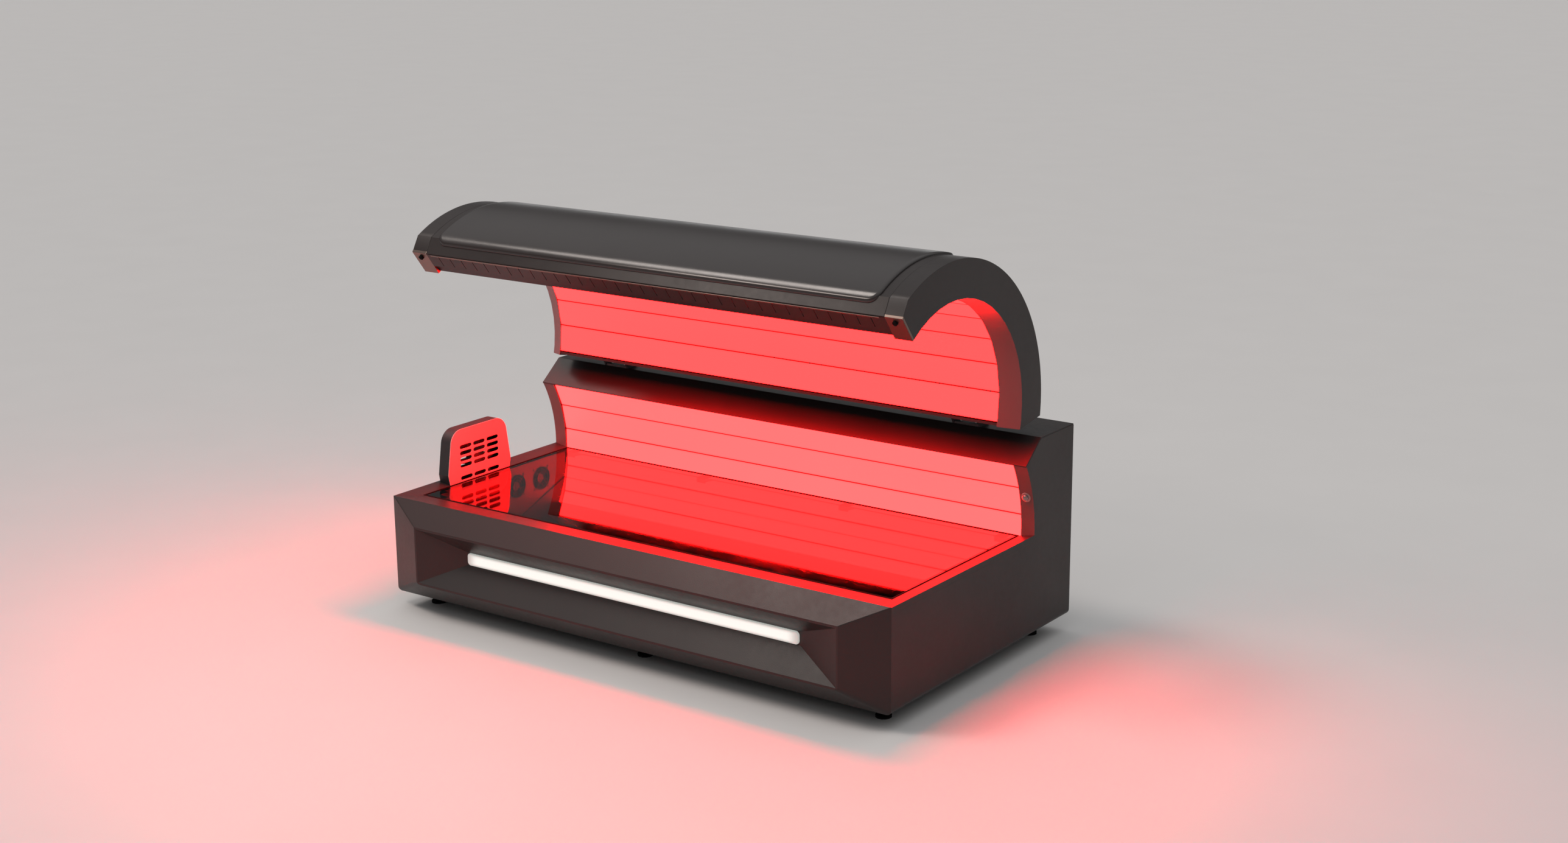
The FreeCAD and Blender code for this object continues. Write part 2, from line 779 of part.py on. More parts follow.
def make_rear_box():
    edge = inner_half - butt_gap
    panel = block(-edge, edge, rear_inner, rear_face, 0, cover_under)
    cuts = []
    for side in (-1, 1):
        for row in range(louvre_rows):
            centre = sec(side * louvre_centre_x, rear_inner - skin, louvre_top - row * louvre_pitch)
            cuts.append(slot(louvre_length, louvre_width, 3 * skin, centre, Vector(1, 0, 0), Vector(0, 1, 0),
                             louvre_flat_count))
    body_rect = (inlet_x - inlet_width / 2, inlet_x + inlet_width / 2,
                 inlet_h - inlet_height / 2, inlet_h + inlet_height / 2)
    x0, x1, h0, h1 = body_rect
    cuts.append(block(x0 - butt_gap, x1 + butt_gap, rear_inner - skin, body_depth,
                      h0 - butt_gap, h1 + butt_gap))
    save("rear_panel", panel.cut(cuts))
    reach = edge - screw_margin
    places = [(-reach + 2 * reach * i / (screw_columns - 1), h) for i in range(screw_columns)
              for h in (screw_margin, cover_under - screw_margin)]
    screw = flat_sided(hex_sides, screw_radius, sec(0, rear_face, 0), Vector(0, 1, 0), screw_head)
    save("rear_screws", group([screw.translated(Vector(x, 0, h)) for x, h in places]))

    body = block(x0, x1, rear_face - inlet_body, rear_face, h0, h1)
    flange = block(x0 - inlet_flange, x1 + inlet_flange, rear_face, rear_face + inlet_flange_thick,
                   h0 - inlet_flange, h1 + inlet_flange)
    mouth = block(x0 + skin, x1 - skin, rear_face - inlet_body + skin, rear_face + 2 * inlet_flange_thick,
                  h0 + skin, h1 - skin)
    inlet = body.fuse(flange).cut(mouth)
    blades = []
    for k in (-1, 0, 1):
        x = inlet_x + k * inlet_width / 4 - inlet_blade_thick / 2
        low = inlet_h + (0 if k == 0 else -inlet_blade_width)
        blades.append(block(x, x + inlet_blade_thick, rear_face - inlet_body, rear_face - skin,
                            low, low + inlet_blade_width))
    save("mains_inlet", fuse_all([inlet] + blades))

    save("rear_top_cover", block(-half, half, ledge_d, body_depth, cover_under, box_height))
    nose = ledge_nose
    section = [nose, (nose[0], nose[1] + skin), (ledge_d, box_height), (ledge_d, cover_under)]
    save("ledge_cover", prism(section, -half, half))

    supplies = []
    pitch = 2 * inner_half / (supply_count + 1)
    rear = rear_inner - supply_clear
    for i in range(supply_count):
        x = -inner_half + (i + 1) * pitch
        box = block(x - supply_length / 2, x + supply_length / 2, rear - supply_depth, rear,
                    skin, skin + supply_height)
        lid = [e for e in box.Edges if all(v.Z > ground_gap + 2 * skin for v in e.Vertexes)]
        supplies.append(box.makeChamfer(supply_chamfer, lid))
    save("power_supplies", group(supplies))

    rear = rear_inner
    box = block(-control_length / 2, control_length / 2, rear - control_depth, rear,
                control_h, control_h + control_height)
    front = [e for e in box.Edges if all(v.Y < front_y + rear - control_depth + 1 for v in e.Vertexes)]
    save("control_box", box.makeChamfer(supply_chamfer, front))


# Rotors: a hub with pitched blades, bored for its shaft
def rotor(hub, tip, thick, blades, shaft, x0, d, h):
    """Fan rotor along X whose left face is at x0."""
    axis = Vector(1, 0, 0)
    lean = math.radians(blade_pitch)
    body = flat_sided(2 * blades, hub, sec(x0, d, h), axis, thick)
    chord = (thick - blade_thick) / math.cos(lean)
    spread = (chord * math.sin(lean) + blade_thick * math.cos(lean)) / 2
    reach = math.sqrt(tip ** 2 - spread ** 2)
    vane = Part.makeBox(chord, blade_thick, reach - hub / 2, Vector(-chord / 2, -blade_thick / 2, hub / 2))
    vane.rotate(Vector(0, 0, 0), Vector(0, 0, 1), blade_pitch)
    vane.translate(sec(x0 + thick / 2, d, h))
    vanes = [turned(vane, (d, h), i * 360.0 / blades) for i in range(blades)]
    bore_radius = clear_of(shaft + shaft_clearance, small_sides)
    bore_depth = thick - rotor_cap + shaft_play
    bore = flat_sided(small_sides, bore_radius, sec(x0 - shaft_play, d, h), axis, bore_depth)
    return body.fuse(vanes).cut(bore)


def make_end_fans():
    frames = []
    x0 = inner_half + trough_plate
    x1 = x0 + fan_thick
    motor_x = x1 - skin
    for index, offset in enumerate((-fan_pitch / 2, fan_pitch / 2), start=1):
        d, h = fan_centre_d + offset, fan_centre_h
        side = fan_square / 2
        thick = fan_thick - skin - 2 * shaft_play
        shaft_tip = motor_x - shaft_play - thick + rotor_cap + shaft_end_gap
        axis = Vector(1, 0, 0)
        bore = flat_sided(frame_sides, clear_of(fan_bore, frame_sides), sec(x0, d, h), axis, fan_thick)
        frame = block(x0, x1, d - side, d + side, h - side, h + side).cut(bore)
        spokes = [block(motor_x, x1, d - side, d + side, h - fan_spoke / 2, h + fan_spoke / 2),
                  block(motor_x, x1, d - fan_spoke / 2, d + fan_spoke / 2, h - side, h + side),
                  flat_sided(small_sides, fan_hub, sec(motor_x, d, h), axis, skin),
                  flat_sided(small_sides, fan_shaft, sec(shaft_tip, d, h), axis, motor_x - shaft_tip)]
        frame = fuse_all([frame] + spokes)
        frames += [frame, mirrored(frame)]
        wheel = rotor(fan_hub, fan_bore - fan_tip_gap, thick, fan_blades, fan_shaft,
                      -x0 - shaft_play - thick, d, h)
        save("end_fan_left_%d" % index, wheel)
        save("end_fan_right_%d" % index, mirrored(wheel))
    save("end_fan_frames", group(frames))


def make_vent():
    inside = vent_outline(vent_back_x + vent_wall, -vent_wall).extrude(Vector(vent_depth, 0, 0))
    housing = vent_outline(vent_back_x, 0).extrude(Vector(vent_depth, 0, 0)).cut(inside)
    fan_h = vent_crease_h + (vent_height - 2 * vent_below_crease) / 2
    intake = []
    rows = int(vent_fan_radius // slot_pitch_h)
    for row in range(rows):
        h = rim_height + slot_height + row * slot_pitch_h
        centre = sec(vent_back_x - vent_wall, vent_centre_d, h)
        intake.append(slot(vent_fan_radius * 2, slot_height / 2, 3 * vent_wall, centre, Vector(0, 1, 0),
                           Vector(1, 0, 0), louvre_flat_count))
    housing = housing.cut(intake)
    motor_x = vent_back_x + vent_wall + vent_motor
    rotor_x = motor_x + shaft_play
    axis = Vector(1, 0, 0)
    motor_seat = sec(vent_back_x + vent_wall, vent_centre_d, fan_h)
    motor = flat_sided(small_sides, vent_fan_hub, motor_seat, axis, vent_motor)
    shaft_length = shaft_play + vent_fan_thick - rotor_cap - shaft_end_gap
    shaft = flat_sided(small_sides, vent_fan_shaft, sec(motor_x, vent_centre_d, fan_h), axis, shaft_length)
    save("vent_housing", fuse_all([housing, motor, shaft]))

    plate = vent_outline(vent_face_x - vent_plate, 0).extrude(Vector(vent_plate, 0, 0))
    holes = []
    for row in list(range(1, slot_rows_up + 1)) + list(range(-slot_rows_down, 0)):
        for column in range(slot_columns):
            d = vent_centre_d + (column - (slot_columns - 1) / 2) * slot_pitch_d
            centre = sec(vent_face_x - 2 * vent_plate, d, vent_crease_h + row * slot_pitch_h)
            holes.append(slot(slot_length, slot_height, 3 * vent_plate, centre, Vector(0, 1, 0),
                              Vector(1, 0, 0), slot_flat_count))
    save("vent_grille", plate.cut(holes))

    wheel = rotor(vent_fan_hub, vent_fan_radius, vent_fan_thick, vent_fan_blades, vent_fan_shaft, rotor_x,
                  vent_centre_d, fan_h)
    save("vent_fan", wheel)


# Round push button in its sleeve
def make_button():
    def plug(radius, start, length):
        return flat_sided(round_sides, radius, button_seat + button_axis * start, button_axis, length)

    flange = plug(bezel_radius, -bezel_thick - curve_gap, bezel_thick)
    sleeve = plug(sleeve_radius, -bezel_thick - curve_gap, bezel_thick + sleeve_length)
    bore_radius = clear_of(button_radius + pin_clearance, round_sides)
    bore = plug(bore_radius, -2 * bezel_thick, sleeve_length + bezel_thick - curve_gap)
    save("button_bezel", flange.fuse(sleeve).cut(bore).removeSplitter())
    front = -bezel_thick - button_proud
    cap = plug(button_radius, front, button_length)
    rim_edges = [e for e in cap.Edges if abs((e.CenterOfMass - button_seat).dot(button_axis) - front) < 1e-6]
    save("push_button", cap.makeChamfer(button_bevel, rim_edges))


# Hinge on the rear box
def hinge_places():
    return [hinge_spacing * (i - (hinge_count - 1) / 2) for i in range(hinge_count)]


cheek_inner = arm_thick / 2 + hinge_play + cartridge_length + hinge_play
cheek_outer = cheek_inner + cheek_thick
foot_front = ledge_d + hinge_play


def make_hinges():
    brackets, cartridges, pins, bolts = [], [], [], []
    foot_rear = foot_front + hinge_foot_depth
    foot_top = box_height + hinge_foot_thick
    for x in hinge_places():
        pieces = [block(x - cheek_outer, x + cheek_outer, foot_front, foot_rear, box_height, foot_top)]
        bore = flat_sided(small_sides, clear_of(pin_radius + pin_clearance, small_sides),
                          sec(x - half, hinge_d, hinge_h), Vector(1, 0, 0), body_length)
        for x0 in (x - cheek_outer, x + cheek_inner):
            top = hinge_h + cheek_boss
            cheek = [(foot_front, box_height), (foot_rear, box_height), (hinge_d + cheek_boss, hinge_h),
                     (hinge_d + cheek_boss / 2, top), (hinge_d - cheek_boss / 2, top),
                     (hinge_d - cheek_boss, hinge_h)]
            pieces.append(prism(cheek, x0, x0 + cheek_thick))
        bracket = fuse_all(pieces)
        brackets.append(bracket.cut(bore))
        for x0 in (x - arm_thick / 2 - hinge_play - cartridge_length, x + arm_thick / 2 + hinge_play):
            barrel = block(x0, x0 + cartridge_length, hinge_d - cartridge_half, hinge_d + cartridge_half,
                           hinge_h - cartridge_half, hinge_h + cartridge_half)
            cartridges.append(barrel.cut(bore))
        pin_end = cheek_outer + hinge_play
        pins.append(rod_x(pin_radius, x - pin_end, x + pin_end, hinge_d, hinge_h))
        for side in (-1, 1):
            for end in (-1, 1):
                bolt_d = (foot_front + foot_rear) / 2 + end * bolt_offset_d
                place = sec(x + side * bolt_offset_x, bolt_d, foot_top)
                bolts.append(flat_sided(hex_sides, bolt_radius, place, Vector(0, 0, 1), bolt_head))
    save("hinge_brackets", group(brackets))
    save("hinge_cartridges", group(cartridges))
    save("hinge_pins", group(pins))
    save("hinge_bolts", group(bolts))


# Canopy
tip = polar(arch_centre, arch_radius, tip_angle)
lip_top = polar(arch_centre, arch_radius + lip_width, tip_angle)
nose = polar(arch_centre, shell_radius, nose_angle)
tail = polar(arch_centre, shell_radius, tail_angle)
nose_slope = math.degrees(math.atan2(nose[1] - lip_top[1], nose[0] - lip_top[0]))


def on_nose(across):
    """Point on the nose's straight front, at a depth behind the lip's face."""
    lean = math.sin(math.radians(tip_angle - nose_slope))
    run = across / lean
    return polar(lip_top, run, nose_slope)


def make_canopy_shell():
    ring = ring_sector(arch_centre, shell_inner, shell_radius, tail_angle, nose_angle,
                       -canopy_led_half, canopy_led_half)
    inner_nose = polar(arch_centre, shell_inner, nose_angle)
    inner_lip = shift(lip_top, 0, shell_skin, nose_slope)
    front = prism([lip_top, nose, inner_nose, inner_lip], -canopy_led_half, canopy_led_half)
    save("canopy_shell", fuse_all([ring, front]))

    panel_half = canopy_led_half - raised_panel_end_gap
    low = polar(arch_centre, shell_radius, raised_panel_low_angle)[0]
    high = polar(arch_centre, shell_radius, raised_panel_high_angle)[0]
    plan = block(-panel_half, panel_half, low, high, arch_h, arch_h + 2 * shell_radius)
    edges = [e for e in plan.Edges if abs(e.tangentAt(e.FirstParameter).z) > 0.9]
    plan = plan.makeFillet(raised_panel_corner, edges)
    skin_ring = ring_sector(arch_centre, shell_radius, shell_radius + raised_panel_proud,
                            raised_panel_high_angle - raised_panel_spare,
                            raised_panel_low_angle + raised_panel_spare, -panel_half, panel_half)
    save("canopy_front_panel", skin_ring.common(plan))


def make_canopy_ends():
    x0, x1 = canopy_led_half, canopy_half
    inner_front = shift(tip, 0, lip_cap_thick, tip_angle)
    outer_front = on_nose(lip_cap_thick)
    bottom = polar(arch_centre, arch_radius - skin, canopy_start)
    middle = polar(arch_centre, shell_radius, (nose_angle + tail_angle) / 2)
    face = outline(x0, inner_front, [outer_front, nose, (middle, tail), bottom, arch_centre])
    body = face.extrude(Vector(x1 - x0, 0, 0))
    run = x1 - x0

    def mouth(x):
        share = (x - x0) / run
        centre = (canopy_d + (arch_d - canopy_d) * share, canopy_h + (arch_h - canopy_h) * share)
        turns = [tip_angle + k * 360.0 / flare_sides for k in range(flare_sides)]
        corners = [sec(x, *polar(centre, canopy_radius + flare * share, turn)) for turn in turns]
        return Part.makePolygon(corners + corners[:1])

    opening = Part.makeLoft([mouth(x0 - skin), mouth(x1 + skin)], True, True)
    pocket = chord_sector(arch_centre, arch_radius + end_face, shell_radius - end_face,
                          tail_angle + pocket_margin, nose_angle - pocket_margin, x0 - skin, x1 - end_face)
    end = body.cut([opening, pocket])
    save("canopy_end_right", end)
    save("canopy_end_left", mirrored(end))

    cap = prism([tip, lip_top, outer_front, inner_front], x0, x1)
    save("lip_end_caps", group([cap, mirrored(cap)]))
    seat = polar(arch_centre, arch_radius + bumper_reach, tip_angle)
    face_out = Vector(0, -math.sin(math.radians(tip_angle)), math.cos(math.radians(tip_angle)))
    bumper = flat_sided(small_sides, bumper_radius, sec((x0 + x1) / 2, *seat), face_out, bumper_thick)
    save("lip_bumpers", group([bumper, mirrored(bumper)]))


def make_canopy_lights():
    half_length = canopy_led_half - panel_end_gap
    spread = (canopy_radius, canopy_centre, half_length, canopy_start, canopy_step, canopy_slats)
    save("canopy_led_panels", group(panel_array(light_panel, *spread)))
    save("canopy_heat_sinks", group(panel_array(heat_sink, *spread)))

    corners = rib_corners(canopy_radius, canopy_centre, canopy_start, canopy_step, canopy_slats)
    rail_top = rail_level() + rail_thick
    reach = shell_inner - curve_gap
    low = math.degrees(math.asin((rail_top - arch_h) / reach))
    chord = (canopy_end_angle - low) / arc_chords
    back = [polar(arch_centre, reach, low + chord * k) for k in range(arc_chords + 1)]
    border = [(corners[0][0], rail_top)] + back + corners[::-1]
    notch = cartridge_half * math.sqrt(2) + cartridge_swing
    ribs = []
    pitch = hinge_spacing * (hinge_count - 1) / (canopy_rib_count - 1)
    for i in range(canopy_rib_count):
        x = (i - (canopy_rib_count - 1) / 2) * pitch + arm_thick / 2
        clear = block(x, x + rib_thick, hinge_d - notch, hinge_d + notch, hinge_h - notch, hinge_h + notch)
        ribs.append(prism(border, x, x + rib_thick).cut(clear))
    save("canopy_ribs", group(ribs))


def rail_level():
    """Underside of the rail below the canopy's lowest light panel."""
    width = slat_pitch - slat_gap
    mid_angle = canopy_start + canopy_step / 2
    back = polar(canopy_centre, canopy_radius + slat_depth, mid_angle)
    return shift(back, 0, width / 2, mid_angle)[1] - rail_below_slat - rail_thick


def make_canopy_rail():
    low = rail_level()
    width = slat_pitch - slat_gap
    mid_angle = canopy_start + canopy_step / 2
    face_low = shift(polar(canopy_centre, canopy_radius, mid_angle), 0, width / 2, mid_angle)
    front = face_low[0] - rail_thick
    rear = arch_d + math.sqrt((shell_inner - curve_gap) ** 2 - (low - arch_h) ** 2)
    plate = block(-canopy_led_half, canopy_led_half, front, rear, low, low + rail_thick)
    stand = block(-canopy_led_half, canopy_led_half, front, front + rail_thick,
                  low, low + rail_thick + rail_upstand)
    rail = fuse_all([plate, stand])
    for x in hinge_places():
        rail = rail.cut(block(x - rail_window / 2, x + rail_window / 2, hinge_d - rail_window_depth / 2,
                              hinge_d + rail_window_depth / 2, low - 1, low + 2 * rail_thick))
    save("canopy_bottom_rail", rail)


def make_canopy_lip():
    strip_end = polar(lip_top, lip_strip_share, tip_angle + 180)
    inner_strip_end = shift(strip_end, 0, lip_sheet, tip_angle)
    step_out = shift(strip_end, 0, lip_step, tip_angle)
    step_in = shift(strip_end, lip_sheet, lip_step + lip_sheet, tip_angle)
    tip_out = shift(tip, lip_sheet, lip_step, tip_angle)
    last = polar(canopy_centre, canopy_radius, canopy_end_angle + 1)
    last_back = polar(canopy_centre, canopy_radius + lip_sheet, canopy_end_angle + 1)
    tip_in = shift(tip_out, 2 * lip_sheet, lip_sheet, tip_angle)
    section = [strip_end, step_out, tip_out, last, last_back, tip_in, step_in,
               shift(inner_strip_end, lip_sheet, 0, tip_angle),
               shift(lip_top, -shell_skin, lip_sheet, tip_angle),
               shift(lip_top, -shell_skin, 0, tip_angle)]
    lip = prism(section, -canopy_led_half, canopy_led_half)
    count = int(2 * (canopy_led_half - slit_pitch) // slit_pitch) + 1
    middle = polar(lip_top, lip_strip_share / 2 + shell_skin / 2, tip_angle + 180)
    slits = []
    for i in range(count):
        x = (i - (count - 1) / 2) * slit_pitch
        slits.append(prism([shift(middle, end * slit_length / 2, side * lip_sheet, tip_angle)
                            for end, side in ((-1, -1), (1, -1), (1, 2), (-1, 2))],
                           x - slit_width / 2, x + slit_width / 2))
    save("canopy_lip", lip.cut(slits))

    trim_half = canopy_led_half - trim_end_gap
    top = shift(lip_top, -shell_skin, 0, tip_angle)
    low = shift(top, -trim_width, 0, tip_angle)
    trim = prism([top, low, shift(low, 0, -trim_thick, tip_angle), shift(top, 0, -trim_thick, tip_angle)],
                 -trim_half, trim_half)
    save("lip_trim", trim)


def make_canopy_arms():
    arms = []
    eye = (hinge_d, hinge_h)
    end = (hinge_d + arm_width, hinge_h + arm_reach)
    lean = math.degrees(math.atan2(end[1] - hinge_h, end[0] - hinge_d))
    for x in hinge_places():
        x0, x1 = x - arm_thick / 2, x + arm_thick / 2
        side = arm_width / 2
        bar = prism([shift(eye, 0, side, lean), shift(end, 0, side, lean), shift(end, 0, -side, lean),
                     shift(eye, 0, -side, lean)], x0, x1)
        boss = flat_sided(small_sides, arm_eye, sec(x0, *eye), Vector(1, 0, 0), arm_thick)
        arms.append(fuse_all([bar, boss]).cut(rod_x(pin_radius + pin_clearance, x0, x1, *eye)))
    save("canopy_hinge_arms", group(arms))


os.makedirs("parts", exist_ok=True)
make_side_panels()
make_front()
make_bed()
make_light_wall()
make_trough()
make_base_frame()
make_rear_box()
make_end_fans()
make_vent()
make_button()
make_hinges()
make_canopy_shell()
make_canopy_ends()
make_canopy_lights()
make_canopy_rail()
make_canopy_lip()
make_canopy_arms()
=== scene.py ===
"""Light therapy pod: finishes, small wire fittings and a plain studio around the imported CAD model."""

import math

import bmesh
import bpy
from mathutils import Matrix, Vector


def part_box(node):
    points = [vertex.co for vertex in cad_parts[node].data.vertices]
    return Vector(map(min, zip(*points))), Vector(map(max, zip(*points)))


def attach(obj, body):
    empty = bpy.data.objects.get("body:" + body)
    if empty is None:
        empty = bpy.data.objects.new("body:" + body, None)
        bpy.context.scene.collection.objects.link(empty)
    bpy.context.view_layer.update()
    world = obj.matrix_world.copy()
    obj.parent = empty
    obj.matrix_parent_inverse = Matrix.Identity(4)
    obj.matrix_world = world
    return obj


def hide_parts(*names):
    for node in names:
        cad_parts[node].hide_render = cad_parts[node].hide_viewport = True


bl_info = {
    "name": "Light therapy pod",
    "version": (1, 0, 0),
    "blender": (4, 5, 0),
    "location": "View3D > Sidebar > Pod",
    "description": "Dresses the packed light therapy pod with its finishes and sets it in a plain studio",
    "category": "Object",
}

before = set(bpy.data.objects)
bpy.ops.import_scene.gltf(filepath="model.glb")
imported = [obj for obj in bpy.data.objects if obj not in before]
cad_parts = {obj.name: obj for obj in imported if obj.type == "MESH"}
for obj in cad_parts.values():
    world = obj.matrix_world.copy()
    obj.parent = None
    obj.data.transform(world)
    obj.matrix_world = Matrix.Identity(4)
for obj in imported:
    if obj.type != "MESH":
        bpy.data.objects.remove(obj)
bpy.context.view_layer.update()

# Axes of the two curved rows of light panels, as (y, z)
WALL_AXIS = (-0.152, 0.441)
CANOPY_AXIS = (-0.128, 0.920)

# Pitch of the cells in the diffusers and of the beads of light in the front bar
CELL_PITCH = 0.0125
CELLS_ACROSS = 8
BEAD_PITCH = 0.0167

# Edges that turn further than the first angle get a round. Creases between the two stay crisp.
ROUND_ANGLE = math.radians(32)
CREASE_ANGLE = math.radians(20)
FLAT_ANGLE = math.radians(0.6)

# The canopy's outer curve, as (y, z): its arch, the raised panel's rear edge, the nose, and the foot of the
# straight front below the nose
ARCH_CENTRE = (-0.11295, 0.90003)
ARCH_RADIUS = 0.567
PANEL_REAR = math.radians(72)
NOSE_ANGLE = math.radians(121)
FRONT_FOOT = (-0.43673, 1.32969)

# Camera: azimuth, elevation and roll in degrees, and its place
CAMERA_ANGLES = (35.764, 14.693, -0.456)
CAMERA_PLACE = (4.7249, -6.1609, 2.7848)


class PodFinishes(bpy.types.PropertyGroup):
    """Colours and textures of the plastic, paint and metal, and the colour of the painted glow on the ends"""

    casing_colour: bpy.props.FloatVectorProperty(
        name="Casing colour", description="Colour of the moulded casing",
        subtype="COLOR", size=3, min=0, max=1, default=(0.024, 0.0185, 0.0180))
    # Painted glow: a paler colour given to the side panels and canopy ends where they face the light panels,
    # standing in for the red light falling on them
    painted_glow_colour: bpy.props.FloatVectorProperty(
        name="Painted glow on ends", description="Colour of the end pieces where they face the light panels",
        subtype="COLOR", size=3, min=0, max=1, default=(0.14, 0.080, 0.078))
    paint_colour: bpy.props.FloatVectorProperty(
        name="Trough paint", description="Colour of the painted sheet below the bed",
        subtype="COLOR", size=3, min=0, max=1, default=(0.018, 0.013, 0.013))
    vent_colour: bpy.props.FloatVectorProperty(
        name="Vent plate", description="Colour of the pale slotted plate",
        subtype="COLOR", size=3, min=0, max=1, default=(0.52, 0.40, 0.39))
    sheet_tint: bpy.props.FloatVectorProperty(
        name="Bed tint", description="Colour that light takes on in the clear bed",
        subtype="COLOR", size=3, min=0, max=1, default=(0.46, 0.16, 0.16))
    dust_colour: bpy.props.FloatVectorProperty(
        name="Dust", description="Colour of the fine dust on upward faces",
        subtype="COLOR", size=3, min=0, max=1, default=(0.11, 0.105, 0.10))
    grain_size: bpy.props.FloatProperty(
        name="Grain", description="Size of the grain moulded into the casing",
        subtype="DISTANCE", unit="LENGTH", min=0.0002, max=0.01, default=0.0020)
    edge_round: bpy.props.FloatProperty(
        name="Edge round", description="Radius on the edges of the casing",
        subtype="DISTANCE", unit="LENGTH", min=0, max=0.01, default=0.0018)


class PodLight(bpy.types.PropertyGroup):
    """What the light panels and the front bar give off"""

    wall_colour: bpy.props.FloatVectorProperty(
        name="Wall colour", description="Colour of the lit panels behind the bed",
        subtype="COLOR", size=3, min=0, max=1, default=(1.0, 0.0083, 0.0082))
    canopy_colour: bpy.props.FloatVectorProperty(
        name="Canopy colour", description="Colour of the lit panels in the canopy",
        subtype="COLOR", size=3, min=0, max=1, default=(1.0, 0.0047, 0.0047))
    panel_strength: bpy.props.FloatProperty(
        name="Panel strength", description="Brightness of the lit panels", min=0, max=50, default=24.0)
    bar_colour: bpy.props.FloatVectorProperty(
        name="Bar colour", description="Colour of the front bar",
        subtype="COLOR", size=3, min=0, max=1, default=(0.93, 1.0, 0.93))
    bar_strength: bpy.props.FloatProperty(
        name="Bar strength", description="Brightness of the front bar", min=0, max=50, default=0.82)


class PodFittings(bpy.types.PropertyGroup):
    """Sizes of the wire fan guards and of the canopy's raised panel"""

    wire: bpy.props.FloatProperty(
        name="Wire", description="Diameter of the guards' wire",
        subtype="DISTANCE", unit="LENGTH", min=0.0005, max=0.01, default=0.0018)
    guard_radius: bpy.props.FloatProperty(
        name="Guard radius", description="Radius of a guard's outer ring",
        subtype="DISTANCE", unit="LENGTH", min=0.02, max=0.1, default=0.048)
    screw_radius: bpy.props.FloatProperty(
        name="Screw radius", description="Distance of a guard's screws from its middle",
        subtype="DISTANCE", unit="LENGTH", min=0.02, max=0.1, default=0.058)
    rings: bpy.props.IntProperty(
        name="Rings", description="Number of wire rings in a guard", min=1, max=12, default=4)
    proud: bpy.props.FloatProperty(
        name="Panel height", description="Height of the raised panel above the canopy's shell",
        subtype="DISTANCE", unit="LENGTH", min=0.001, max=0.03, default=0.0088)
    edge_roll: bpy.props.FloatProperty(
        name="Panel edge", description="Width of the round along the raised panel's edge",
        subtype="DISTANCE", unit="LENGTH", min=0.001, max=0.04, default=0.014)
    nose_roll: bpy.props.FloatProperty(
        name="Nose roll", description="Radius with which the raised panel turns over the canopy's nose",
        subtype="DISTANCE", unit="LENGTH", min=0.02, max=0.12, default=0.070)
    corner: bpy.props.FloatProperty(
        name="Panel corner", description="Radius of the raised panel's corners",
        subtype="DISTANCE", unit="LENGTH", min=0.02, max=0.1, default=0.045)


class PodStage(bpy.types.PropertyGroup):
    """Floor, lamps and camera"""

    floor_size: bpy.props.FloatProperty(
        name="Floor", description="Length of the floor's sides",
        subtype="DISTANCE", unit="LENGTH", min=10, max=500, default=160.0)
    overhead: bpy.props.FloatProperty(
        name="Overhead", description="Brightness of the soft light straight above",
        min=0, max=2, default=0.95)
    walls: bpy.props.FloatProperty(
        name="Walls", description="Brightness of the room's dim walls", min=0, max=2, default=0.12)
    backdrop: bpy.props.FloatProperty(
        name="Backdrop", description="Brightness of the pale band where the floor ends",
        min=0, max=2, default=0.50)
    key: bpy.props.FloatProperty(
        name="Key lamp", description="Strength of the main soft lamp", min=0, max=20, default=1.0)
    focal: bpy.props.FloatProperty(
        name="Lens", description="Focal length of the camera", subtype="DISTANCE_CAMERA",
        unit="CAMERA", min=10, max=300, default=51.31)


def settings():
    return bpy.context.scene.pod_finishes, bpy.context.scene.pod_light, bpy.context.scene.pod_stage


# Shader building


